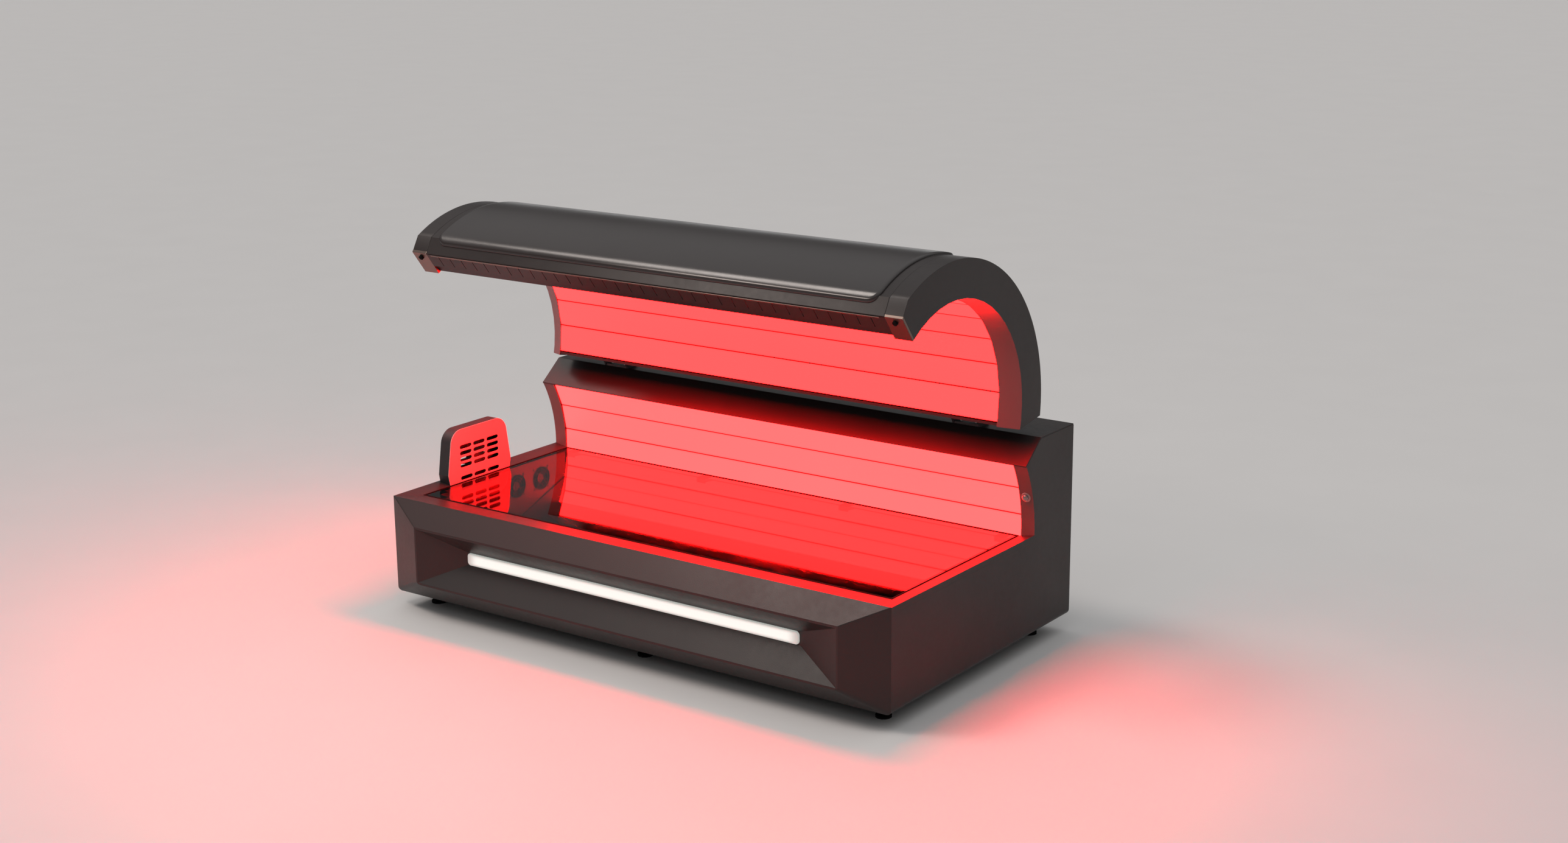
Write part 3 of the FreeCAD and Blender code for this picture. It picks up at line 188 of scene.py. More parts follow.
class Net:
    """A node tree with short calls for adding and joining nodes."""

    def __init__(self, tree):
        self.tree = tree

    def add(self, kind, inputs=None, **options):
        node = self.tree.nodes.new(kind)
        for key, value in options.items():
            setattr(node, key, value)
        for key, value in (inputs or {}).items():
            if isinstance(value, bpy.types.NodeSocket):
                self.tree.links.new(value, node.inputs[key])
            else:
                node.inputs[key].default_value = value
        return node

    def math(self, operation, *values):
        return self.add("ShaderNodeMath", dict(enumerate(values)), operation=operation).outputs[0]

    def vector(self, operation, *values):
        return self.add("ShaderNodeVectorMath", dict(enumerate(values)), operation=operation).outputs[0]

    def place(self, which="Object"):
        return self.add("ShaderNodeTexCoord").outputs[which]

    def noise(self, where, scale, detail=2.0, rough=0.5):
        given = {"Vector": where, "Scale": scale, "Detail": detail, "Roughness": rough}
        return self.add("ShaderNodeTexNoise", given).outputs["Fac"]

    def span(self, value, low, high, to_low, to_high, smooth=False):
        kind = "SMOOTHSTEP" if smooth else "LINEAR"
        node = self.add("ShaderNodeMapRange", {0: value, 1: low, 2: high, 3: to_low, 4: to_high},
                        interpolation_type=kind, clamp=True)
        return node.outputs[0]

    def wave(self, value, pitch):
        return self.math("SINE", self.math("MULTIPLY", value, 2 * math.pi / pitch))

    def split(self, where):
        return self.add("ShaderNodeSeparateXYZ", {0: where}).outputs

    def facing(self, y, z):
        """How far a face looks along a direction in the (y, z) plane: 1 along it, -1 against it."""
        along = self.vector("NORMALIZE", self.add("ShaderNodeCombineXYZ", {"Y": y, "Z": z}).outputs[0])
        node = self.add("ShaderNodeVectorMath", {0: along, 1: self.place("Normal")}, operation="DOT_PRODUCT")
        return node.outputs["Value"]

    def mix(self, amount, first, second):
        node = self.add("ShaderNodeMix", data_type="RGBA")
        for number, value in ((0, amount), (6, first), (7, second)):
            socket = node.inputs[number]
            if isinstance(value, bpy.types.NodeSocket):
                self.tree.links.new(value, socket)
            elif hasattr(value, "__len__"):
                socket.default_value = tuple(value[:3]) + (1.0,)
            else:
                socket.default_value = value
        return node.outputs[2]

    def bump(self, height, strength, distance):
        given = {"Height": height, "Strength": strength, "Distance": distance}
        return self.add("ShaderNodeBump", given).outputs[0]

    def group(self, tree, **inputs):
        node = self.tree.nodes.new("ShaderNodeGroup")
        node.node_tree = tree
        for key, value in inputs.items():
            node.inputs[key].default_value = value
        return node.outputs


def effect(name, inputs, outputs, build):
    """A shader node group. build gets its net and input sockets and returns one socket for each output."""
    if name in bpy.data.node_groups:
        return bpy.data.node_groups[name]
    tree = bpy.data.node_groups.new(name, "ShaderNodeTree")
    for label, default in inputs.items():
        socket = tree.interface.new_socket(label, in_out="INPUT", socket_type="NodeSocketFloat")
        socket.default_value = default
    for label in outputs:
        tree.interface.new_socket(label, in_out="OUTPUT", socket_type="NodeSocketFloat")
    net = Net(tree)
    made = build(net, net.add("NodeGroupInput").outputs)
    end = net.add("NodeGroupOutput")
    for label, socket in zip(outputs, made):
        tree.links.new(socket, end.inputs[label])
    return tree


def moulded_grain():
    """Fine pebble grain from the mould, with slow changes of gloss."""
    def build(net, given):
        where = net.place()
        pebble = net.add("ShaderNodeTexVoronoi", {"Vector": where, "Scale": given["Scale"]},
                         feature="SMOOTH_F1")
        flow = net.noise(where, 3.2, 3.0)
        rub = net.noise(where, 46.0, 4.0, 0.6)
        gloss = net.math("ADD", net.math("MULTIPLY", flow, 0.6), net.math("MULTIPLY", rub, 0.4))
        return pebble.outputs["Distance"], gloss
    return effect("Moulded grain", {"Scale": 700.0}, ("Height", "Gloss"), build)


def settled_dust():
    """Thin dust that gathers on faces that look up."""
    def build(net, given):
        up = net.span(net.split(net.place("Normal"))["Z"], 0.35, 0.95, 0.0, 1.0, smooth=True)
        where = net.place()
        cloud = net.span(net.noise(where, 7.0, 5.0, 0.65), 0.42, 0.72, 0.15, 1.0)
        speck = net.span(net.noise(where, 420.0, 1.0), 0.66, 0.78, 0.0, 1.0)
        both = net.math("MULTIPLY", cloud, net.span(speck, 0.0, 1.0, 0.35, 1.0))
        return (net.math("MULTIPLY", net.math("MULTIPLY", up, both), given["Amount"]),)
    return effect("Settled dust", {"Amount": 0.3}, ("Mask",), build)


def drawn_lines():
    """Lines that brushing or extrusion leaves along the pod."""
    def build(net, given):
        long = net.vector("MULTIPLY", net.place(), (1.5, 900.0, 900.0))
        fine = net.noise(long, 1.0, 3.0, 0.6)
        patch = net.noise(net.place(), 9.0, 3.0)
        return fine, net.math("ADD", net.math("MULTIPLY", fine, 0.65), net.math("MULTIPLY", patch, 0.35))
    return effect("Drawn lines", {}, ("Height", "Gloss"), build)


def hair_scratches():
    """Sparse hairline scratches in two directions."""
    def build(net, given):
        where = net.place()
        lines = []
        for turn, stretch in ((0.35, (14.0, 900.0, 1.0)), (-0.9, (9.0, 1200.0, 1.0))):
            turned = net.add("ShaderNodeVectorRotate", {"Vector": where, "Angle": turn},
                             rotation_type="Z_AXIS")
            scaled = net.vector("MULTIPLY", turned.outputs[0], stretch)
            lines.append(net.span(net.noise(scaled, 1.0, 1.0), 0.70, 0.78, 0.0, 1.0))
        return (net.math("MAXIMUM", *lines),)
    return effect("Hair scratches", {}, ("Mask",), build)


def panel_cells():
    """A curved row of slats: the fall-off at a slat's edges, its lit face and its diffuser's cells."""
    def build(net, given):
        x, y, z = (net.split(net.place())[axis] for axis in "XYZ")
        away = net.math("SUBTRACT", y, given["Centre Y"])
        rise = net.math("SUBTRACT", z, given["Centre Z"])
        turn = net.math("ARCTAN2", rise, away)
        count = net.math("DIVIDE", net.math("SUBTRACT", turn, given["Start"]), given["Step"])
        across = net.math("FRACT", count)
        middle = net.math("ABSOLUTE", net.math("SUBTRACT", across, 0.5))
        fall = net.span(middle, 0.40, 0.49, 1.0, 0.0, smooth=True)
        cells = net.math("MULTIPLY", net.wave(x, CELL_PITCH), net.wave(across, 1 / CELLS_ACROSS))
        drift = net.noise(net.place(), 1.7, 2.0)
        glow = net.math("ADD", net.math("MULTIPLY", fall, 0.7), net.math("MULTIPLY", drift, 0.3))
        face = net.span(net.facing(away, rise), -0.9, -0.6, 1.0, 0.0)
        return glow, face, net.span(cells, -1.0, 1.0, 0.0, 1.0)
    given = {"Centre Y": 0.0, "Centre Z": 0.0, "Start": 0.0, "Step": 0.2}
    return effect("Panel cells", given, ("Glow", "Face", "Height"), build)


def painted_panel_glow():
    """Painted glow: a mask of the faces that look at the axis of a curved row of light panels, from a given
    depth to the rear, where the panels' light falls on them.
    """
    def build(net, given):
        place = net.split(net.place())
        away = net.math("SUBTRACT", given["Centre Y"], place["Y"])
        rise = net.math("SUBTRACT", given["Centre Z"], place["Z"])
        rear = net.math("GREATER_THAN", place["Y"], given["From Y"])
        return (net.math("MULTIPLY", rear, net.span(net.facing(away, rise), 0.25, 0.45, 0.0, 1.0)),)
    given = {"Centre Y": 0.0, "Centre Z": 0.0, "From Y": -1.0}
    return effect("Inside of a curve", given, ("Mask",), build)


def material(name, **fixed):
    """A new material: its net, its shader and the material. Fixed values go on the shader's sockets."""
    made = bpy.data.materials.new(name)
    made.use_nodes = True
    net = Net(made.node_tree)
    shader = next(n for n in made.node_tree.nodes if n.type == "BSDF_PRINCIPLED")
    for key, value in fixed.items():
        socket = shader.inputs[key.replace("_", " ")]
        socket.default_value = tuple(value) + (1.0,) if hasattr(value, "__len__") else value
    return net, shader, made


def join(net, shader, **sockets):
    for key, socket in sockets.items():
        net.tree.links.new(socket, shader.inputs[key.replace("_", " ")])


def dress(made, *names):
    """Give CAD nodes a material."""
    for name in names:
        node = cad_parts[name]
        if not node.material_slots:
            node.data.materials.append(made)
        for held in node.material_slots:
            held.material = made


def smooth_faces():
    """A modifier's node group that shades faces smooth, but keeps the shallow creases that get no round."""
    name = "Smooth faces"
    if name in bpy.data.node_groups:
        return bpy.data.node_groups[name]
    tree = bpy.data.node_groups.new(name, "GeometryNodeTree")
    for way in ("INPUT", "OUTPUT"):
        tree.interface.new_socket("Geometry", in_out=way, socket_type="NodeSocketGeometry")
    net = Net(tree)
    given = net.add("NodeGroupInput").outputs[0]
    faces = net.add("GeometryNodeSetShadeSmooth", {"Geometry": given, "Shade Smooth": True}, domain="FACE")
    angle = net.add("GeometryNodeInputMeshEdgeAngle").outputs["Unsigned Angle"]
    above = net.add("FunctionNodeCompare", {0: angle, 1: CREASE_ANGLE}, operation="GREATER_THAN")
    below = net.add("FunctionNodeCompare", {0: angle, 1: ROUND_ANGLE}, operation="LESS_THAN")
    crease = net.add("FunctionNodeBooleanMath", {0: above.outputs[0], 1: below.outputs[0]}, operation="AND")
    parted = {"Geometry": faces.outputs[0], "Selection": crease.outputs[0], "Shade Smooth": False}
    edges = net.add("GeometryNodeSetShadeSmooth", parted, domain="EDGE")
    net.add("NodeGroupOutput", {0: edges.outputs[0]})
    return tree


def ease(radius, *names, seam=2e-5, curved=False):
    """Round a CAD node's sharp edges with modifiers, which leave its mesh alone.

    Points closer than seam become one first, so that short edges don't hold the radius down.
    A curved node's flat facets are shaded as one smooth face.
    """
    for name in names:
        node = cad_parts[name]
        weld = node.modifiers.new("Close seams", "WELD")
        weld.merge_threshold = seam
        flat = node.modifiers.new("Whole faces", "DECIMATE")
        flat.decimate_type = "DISSOLVE"
        flat.angle_limit = FLAT_ANGLE
        if curved:
            node.modifiers.new("Smooth faces", "NODES").node_group = smooth_faces()
        bevel = node.modifiers.new("Edge round", "BEVEL")
        bevel.width = radius
        bevel.segments = 2
        bevel.limit_method = "ANGLE"
        bevel.angle_limit = ROUND_ANGLE
        node.modifiers.new("Even shading", "WEIGHTED_NORMAL").keep_sharp = True


# Finishes


def moulded(name, colour, low, high, grain, strength, dust, gleam=0.5, painted_glow_curve=None):
    """Moulded plastic with a roughness from low to high, a grain and dust.

    The last argument gives the centre and the first depth of a curve of light panels, and faces within that
    curve are painted paler, a painted glow standing in for the panels' light.
    """
    finishes = settings()[0]
    net, shader, made = material(name, IOR=1.5, Specular_IOR_Level=gleam)
    texture = net.group(moulded_grain(), Scale=1.0 / grain)
    powder = net.group(settled_dust(), Amount=dust)
    # Painted glow: faces that look at the light panels take the paler glow colour, in place of the light
    # those panels throw on them
    if painted_glow_curve:
        curve = net.group(painted_panel_glow(), **dict(zip(("Centre Y", "Centre Z", "From Y"), painted_glow_curve)))
        colour = net.mix(curve["Mask"], colour, finishes.painted_glow_colour)
    join(net, shader,
         Base_Color=net.mix(powder["Mask"], colour, finishes.dust_colour),
         Roughness=net.span(texture["Gloss"], 0.3, 0.7, low, high),
         Normal=net.bump(texture["Height"], strength, grain * 0.12))
    return made


class POD_OT_casing(bpy.types.Operator):
    """Satin black moulded finish for the casing and its covers, with a painted glow on the side panels and
    canopy ends where they face the light panels
    """

    bl_idname = "pod.casing"
    bl_label = "Casing"

    def execute(self, context):
        finishes = settings()[0]
        satin = (finishes.casing_colour, 0.30, 0.44, finishes.grain_size, 0.5, 0.03)
        made = moulded("Satin black moulding", *satin, gleam=0.28)
        dress(made, "front_fascia", "bed_rim", "ledge_cover", "rear_top_cover", "rear_panel", "led_skirt",
              "canopy_shell", "canopy_lip", "canopy_bottom_rail")
        # The side panels and canopy ends get a painted glow on the faces that look at the light panels
        for part, painted_glow_curve in (("side_panel", (*WALL_AXIS, 0.05)), ("canopy_end", (*CANOPY_AXIS, -1.0))):
            made = moulded(f"Satin black {part}", *satin, gleam=0.28, painted_glow_curve=painted_glow_curve)
            dress(made, f"{part}_left", f"{part}_right")
        return {"FINISHED"}


class POD_OT_plastics(bpy.types.Operator):
    """Matt black plastic for fans, vent body, brackets and boxes, and the pale slotted vent plate"""

    bl_idname = "pod.plastics"
    bl_label = "Plastic parts"

    def execute(self, context):
        finishes = settings()[0]
        dark = moulded("Matt black plastic", (0.016, 0.016, 0.017), 0.48, 0.62, 0.0009, 0.30, 0.18)
        dress(dark, "vent_housing", "vent_fan", "end_fan_frames", "end_fan_left_1", "end_fan_left_2",
              "end_fan_right_1", "end_fan_right_2", "bed_brackets", "control_box", "mains_inlet")
        pale = moulded("Pale moulded plate", finishes.vent_colour, 0.40, 0.55, 0.0011, 0.25, 0.10)
        dress(pale, "vent_grille")
        return {"FINISHED"}


class POD_OT_paint(bpy.types.Operator):
    """Dark satin paint on the trough and black powder coat on the frame and hinges"""

    bl_idname = "pod.paint"
    bl_label = "Painted steel"

    def execute(self, context):
        finishes = settings()[0]
        for name, colour, low, high, cell, parts in (
                ("Dark satin paint", finishes.paint_colour, 0.38, 0.52, 0.006,
                 ("floor_pan", "trough_front", "trough_end_left", "trough_end_right")),
                ("Black powder coat", (0.022, 0.022, 0.024), 0.50, 0.66, 0.0025,
                 ("base_frame", "base_led_ribs", "canopy_ribs", "canopy_hinge_arms",
                  "hinge_brackets", "hinge_cartridges"))):
            net, shader, made = material(name, IOR=1.5)
            where = net.place()
            peel = net.noise(where, 1.0 / cell, 2.0)
            wear = net.noise(where, 12.0, 4.0, 0.6)
            powder = net.group(settled_dust(), Amount=0.25)
            join(net, shader,
                 Base_Color=net.mix(powder["Mask"], colour, finishes.dust_colour),
                 Roughness=net.span(wear, 0.3, 0.7, low, high),
                 Normal=net.bump(peel, 0.25, cell * 0.08))
            dress(made, *parts)
        return {"FINISHED"}


class POD_OT_panels(bpy.types.Operator):
    """Red diffusers: lit in the wall and the canopy, unlit under the bed"""

    bl_idname = "pod.panels"
    bl_label = "Light panels"

    def execute(self, context):
        light = settings()[1]
        rows = (("Lit wall diffuser", "base_led_panels", light.wall_colour, WALL_AXIS, -29.05, 11.62),
                ("Lit canopy diffuser", "canopy_led_panels", light.canopy_colour, CANOPY_AXIS, -12.0, 14.456))
        for name, part, colour, centre, start, step in rows:
            net, shader, made = material(name, Roughness=0.42, IOR=1.49, Base_Color=(0.060, 0.008, 0.008),
                                         Emission_Strength=light.panel_strength)
            cells = net.group(panel_cells(), **{"Centre Y": centre[0], "Centre Z": centre[1],
                                                "Start": math.radians(start), "Step": math.radians(step)})
            deep = [c * 0.80 for c in colour]
            glow = net.mix(cells["Glow"], deep, colour)
            join(net, shader,
                 Emission_Color=net.mix(cells["Face"], (0.0, 0.0, 0.0), glow),
                 Normal=net.bump(cells["Height"], 0.25, 0.0006))
            dress(made, part)
        net, shader, made = material("Unlit red diffuser", IOR=1.49, Specular_IOR_Level=0.15)
        where = net.place()
        cell = net.math("MULTIPLY", net.wave(net.split(where)["X"], CELL_PITCH),
                        net.wave(net.split(where)["Y"], CELL_PITCH))
        cloud = net.noise(where, 5.0, 3.0)
        join(net, shader,
             Base_Color=net.mix(cloud, (0.014, 0.004, 0.004), (0.022, 0.006, 0.006)),
             Roughness=net.span(cloud, 0.3, 0.7, 0.66, 0.78),
             Normal=net.bump(cell, 0.25, 0.0006))
        dress(made, "bed_led_panels")
        return {"FINISHED"}


class POD_OT_clear_bed(bpy.types.Operator):
    """Clear polished acrylic sheet with hairline scratches"""

    bl_idname = "pod.clear_bed"
    bl_label = "Clear bed"

    def execute(self, context):
        finishes = settings()[0]
        net, shader, made = material("Clear polished acrylic", Base_Color=finishes.sheet_tint, IOR=1.49,
                                     Transmission_Weight=1.0)
        marks = net.group(hair_scratches())
        smear = net.noise(net.place(), 6.0, 4.0, 0.6)
        rough = net.math("ADD", net.span(smear, 0.45, 0.75, 0.012, 0.05),
                         net.math("MULTIPLY", marks["Mask"], 0.10))
        join(net, shader, Roughness=rough)
        dress(made, "acrylic_bed")
        return {"FINISHED"}


class POD_OT_front_bar(bpy.types.Operator):
    """Lit white diffuser bar in the front recess"""

    bl_idname = "pod.front_bar"
    bl_label = "Front light bar"

    FADE_LENGTH = 0.05
    LIT_HALF = 0.010

    def execute(self, context):
        light = settings()[1]
        net, shader, made = material("Lit white diffuser", Base_Color=(0.36, 0.37, 0.36), Roughness=0.35,
                                     IOR=1.49, Emission_Strength=light.bar_strength)
        low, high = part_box("light_bar_lens")
        middle = (low + high) / 2
        place = net.split(net.place())
        along = net.math("ABSOLUTE", net.math("SUBTRACT", place["X"], middle.x))
        across = net.math("ABSOLUTE", net.math("SUBTRACT", place["Z"], middle.z))
        reach = (high - low) / 2
        ends = net.span(along, reach.x - self.FADE_LENGTH, reach.x, 1.0, 0.0, smooth=True)
        edges = net.span(across, self.LIT_HALF, reach.z, 1.0, 0.0, smooth=True)
        beads = net.wave(place["X"], BEAD_PITCH)
        even = net.math("MULTIPLY", net.math("MULTIPLY", ends, edges), net.span(beads, -1.0, 1.0, 0.96, 1.0))
        dim = [c * 0.45 for c in light.bar_colour]
        frost = net.noise(net.place(), 900.0, 2.0)
        join(net, shader,
             Emission_Color=net.mix(even, dim, light.bar_colour),
             Normal=net.bump(frost, 0.15, 0.0004))
        dress(made, "light_bar_lens")
        return {"FINISHED"}


class POD_OT_metal(bpy.types.Operator):
    """Extruded aluminium, brushed trim and fasteners, and the polished button cap"""

    bl_idname = "pod.metal"
    bl_label = "Metal parts"

    def execute(self, context):
        for name, colour, low, high, depth, parts in (
                ("Extruded aluminium", (0.60, 0.60, 0.62), 0.34, 0.52, 0.00012,
                 ("base_heat_sinks", "bed_heat_sinks", "canopy_heat_sinks", "light_bar_strip",
                  "power_supplies")),
                ("Dark anodised aluminium", (0.045, 0.042, 0.042), 0.38, 0.54, 0.00010, ("trough_gussets",)),
                ("Bronzed trim", (0.20, 0.155, 0.135), 0.26, 0.42, 0.00008, ("lip_end_caps", "lip_trim")),
                ("Brushed steel", (0.56, 0.54, 0.53), 0.24, 0.40, 0.00008,
                 ("button_bezel", "rear_screws", "hinge_bolts", "hinge_pins"))):
            net, shader, made = material(name, Metallic=1.0)
            lines = net.group(drawn_lines())
            deep = [c * 0.82 for c in colour]
            join(net, shader,
                 Base_Color=net.mix(lines["Gloss"], deep, colour),
                 Roughness=net.span(lines["Gloss"], 0.25, 0.75, low, high),
                 Normal=net.bump(lines["Height"], 0.25, depth))
            dress(made, *parts)
        net, shader, made = material("Polished cap", Metallic=1.0)
        marks = net.noise(net.place(), 240.0, 4.0, 0.65)
        join(net, shader,
             Base_Color=net.mix(marks, (0.26, 0.25, 0.25), (0.34, 0.33, 0.33)),
             Roughness=net.span(marks, 0.35, 0.75, 0.16, 0.30))
        dress(made, "push_button")
        return {"FINISHED"}


class POD_OT_rubber(bpy.types.Operator):
    """Black rubber for the bed seal, feet and bumpers"""

    bl_idname = "pod.rubber"
    bl_label = "Rubber parts"

    def execute(self, context):
        finishes = settings()[0]
        net, shader, made = material("Black rubber", IOR=1.45, Specular_IOR_Level=0.04)
        where = net.place()
        skin = net.noise(where, 1400.0, 2.0)
        bloom = net.noise(where, 30.0, 4.0, 0.6)
        powder = net.group(settled_dust(), Amount=0.3)
        join(net, shader,
             Base_Color=net.mix(powder["Mask"], (0.007, 0.007, 0.007), finishes.dust_colour),
             Roughness=net.span(bloom, 0.3, 0.7, 0.74, 0.90),
             Normal=net.bump(skin, 0.3, 0.0002))
        dress(made, "bed_gasket", "levelling_feet", "lip_bumpers")
        return {"FINISHED"}


class POD_OT_edges(bpy.types.Operator):
    """Small rounds on the edges of the casing, so that they catch the light"""

    bl_idname = "pod.edges"
    bl_label = "Edge rounds"

    def execute(self, context):
        small = settings()[0].edge_round
        ease(small, "bed_rim", "rear_top_cover", "canopy_shell", "vent_grille")
        ease(small, "canopy_end_left", "canopy_end_right", seam=6e-4, curved=True)
        ease(small * 0.85, "ledge_cover")
        ease(small, "front_fascia", seam=1.5e-3)
        ease(small * 0.50, "vent_housing")
        ease(small * 0.45, "canopy_lip")
        ease(small * 0.40, "acrylic_bed", "lip_end_caps", "lip_trim", "bed_gasket", "push_button",
             "button_bezel")
        return {"FINISHED"}


def ring(made, centre, radius, wire, around=40, sides=8):
    """A closed ring of round wire in the YZ plane."""
    loops = []
    for step in range(around):
        turn = 2 * math.pi * step / around
        out = Vector((0, math.cos(turn), math.sin(turn)))
        loop = []
        for side in range(sides):
            roll = 2 * math.pi * side / sides
            loop.append(made.verts.new(centre + out * (radius + wire * math.cos(roll))
                                       + Vector((wire * math.sin(roll), 0, 0))))
        loops.append(loop)
    for here, after in zip(loops, loops[1:] + loops[:1]):
        for side in range(sides):
            near, far = side, (side + 1) % sides
            made.faces.new((here[near], after[near], after[far], here[far]))


def rod(made, start, end, radius, sides=8):
    """A straight round wire with closed ends."""
    along = (end - start).normalized()
    across = along.orthogonal().normalized()
    other = along.cross(across)
    loops = []
    for point in (start, end):
        turns = [2 * math.pi * side / sides for side in range(sides)]
        loops.append([made.verts.new(point + radius * (across * math.cos(t) + other * math.sin(t)))
                      for t in turns])
    for side in range(sides):
        far = (side + 1) % sides
        made.faces.new((loops[0][side], loops[0][far], loops[1][far], loops[1][side]))
    made.faces.new(loops[0][::-1])
    made.faces.new(loops[1])


class POD_OT_fan_guards(bpy.types.Operator):
    """Wire finger guards over the four end fans, each with its screws"""

    bl_idname = "pod.fan_guards"
    bl_label = "Fan guards"

    SPOKE_START = 0.008
    SCREW_HEIGHT = 0.0026
    SCREW_HEAD = 0.0042

    def execute(self, context):
        fittings = context.scene.pod_fittings
        wire = fittings.wire / 2
        net, shader, finish = material("Blackened wire", Metallic=1.0)
        worn = net.noise(net.place(), 180.0, 4.0, 0.6)
        join(net, shader,
             Base_Color=net.mix(worn, (0.030, 0.030, 0.032), (0.070, 0.068, 0.066)),
             Roughness=net.span(worn, 0.3, 0.7, 0.34, 0.52))
        for side, wall in (("left", "trough_end_left"), ("right", "trough_end_right")):
            inward = 1 if side == "left" else -1
            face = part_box(wall)[1].x if side == "left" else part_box(wall)[0].x
            for number in (1, 2):
                low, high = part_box(f"end_fan_{side}_{number}")
                hub = (low + high) / 2
                hub.x = face + inward * wire
                made = bmesh.new()
                for count in range(1, fittings.rings + 1):
                    ring(made, hub, fittings.guard_radius * count / fittings.rings, wire)
                lift = Vector((inward * 2 * wire, 0, 0))
                for corner in range(4):
                    turn = math.radians(45 + 90 * corner)
                    out = Vector((0, math.cos(turn), math.sin(turn)))
                    seat = hub + out * fittings.screw_radius
                    rod(made, hub + lift + out * self.SPOKE_START, seat + lift, wire)
                    seat.x = face
                    top = seat + Vector((inward * self.SCREW_HEIGHT, 0, 0))
                    rod(made, seat, top, self.SCREW_HEAD, sides=16)
                mesh = bpy.data.meshes.new(f"fan_guard_{side}_{number}")
                made.to_mesh(mesh)
                made.free()
                mesh.materials.append(finish)
                guard = bpy.data.objects.new(mesh.name, mesh)
                context.scene.collection.objects.link(guard)
                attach(guard, "base")
        return {"FINISHED"}


def bearing(turn):
    """Direction at an angle in the (y, z) plane."""
    return Vector((math.cos(turn), math.sin(turn)))


class CanopyCurve:
    """The canopy's outer curve as (y, z): the arch, a roll over the nose and the straight front below it."""

    def __init__(self, roll):
        self.roll = roll
        self.centre = Vector(ARCH_CENTRE)
        nose = self.centre + ARCH_RADIUS * bearing(NOSE_ANGLE)
        self.down = (Vector(FRONT_FOOT) - nose).normalized()
        self.front = Vector((self.down.y, -self.down.x))
        # The roll touches the arch from within. Halving finds where it touches the front as well.
        low, high = math.radians(90), NOSE_ANGLE
        for _ in range(60):
            self.turn = (low + high) / 2
            self.hub = self.centre + (ARCH_RADIUS - roll) * bearing(self.turn)
            if (self.hub - nose).dot(self.front) < -roll:
                low = self.turn
            else:
                high = self.turn
        self.arch_end = ARCH_RADIUS * (self.turn - PANEL_REAR)
        self.roll_end = self.arch_end + roll * (math.atan2(self.front.y, self.front.x) - self.turn)

    def at(self, along):
        """Place on the curve and the direction out of it, at a length along it from the panel's rear edge."""
        if along <= self.arch_end:
            out = bearing(PANEL_REAR + along / ARCH_RADIUS)
            return self.centre + ARCH_RADIUS * out, out
        if along <= self.roll_end:
            out = bearing(self.turn + (along - self.arch_end) / self.roll)
            return self.hub + self.roll * out, out
        return self.hub + self.roll * self.front + self.down * (along - self.roll_end), self.front


class PanelSheet:
    """Net of quads over a panel with round corners: loops that follow its edge, then a grid in the middle."""

    ACROSS, ALONG, CORNER_STEPS = 24, 20, 8

    def __init__(self, half, length, corner):
        self.half, self.length, self.corner = half, length, corner
        self.wide, self.tall = half - corner, length - 2 * corner

    def loop(self, inset):
        """Points of the panel's outline, inset from its edge, as (x, length along the curve)."""
        half, length, corner, wide, tall = self.half, self.length, self.corner, self.wide, self.tall
        right, up = 2 * wide / self.ACROSS, tall / self.ALONG
        sides = (((-wide, inset), (right, 0), self.ACROSS, (wide, corner), -90),
                 ((half - inset, corner), (0, up), self.ALONG, (wide, corner + tall), 0),
                 ((wide, length - inset), (-right, 0), self.ACROSS, (-wide, corner + tall), 90),
                 ((inset - half, corner + tall), (0, -up), self.ALONG, (-wide, corner), 180))
        points = []
        for start, step, count, hub, begin in sides:
            points += [(start[0] + step[0] * k, start[1] + step[1] * k) for k in range(count + 1)]
            for k in range(1, self.CORNER_STEPS):
                out = (corner - inset) * bearing(math.radians(begin + 90 * k / self.CORNER_STEPS))
                points.append((hub[0] + out.x, hub[1] + out.y))
        return points

    def grid(self):
        """Rows of points in the middle of the panel."""
        return [[(-self.wide + 2 * self.wide * i / self.ACROSS, self.corner + self.tall * j / self.ALONG)
                 for i in range(self.ACROSS + 1)] for j in range(self.ALONG + 1)]


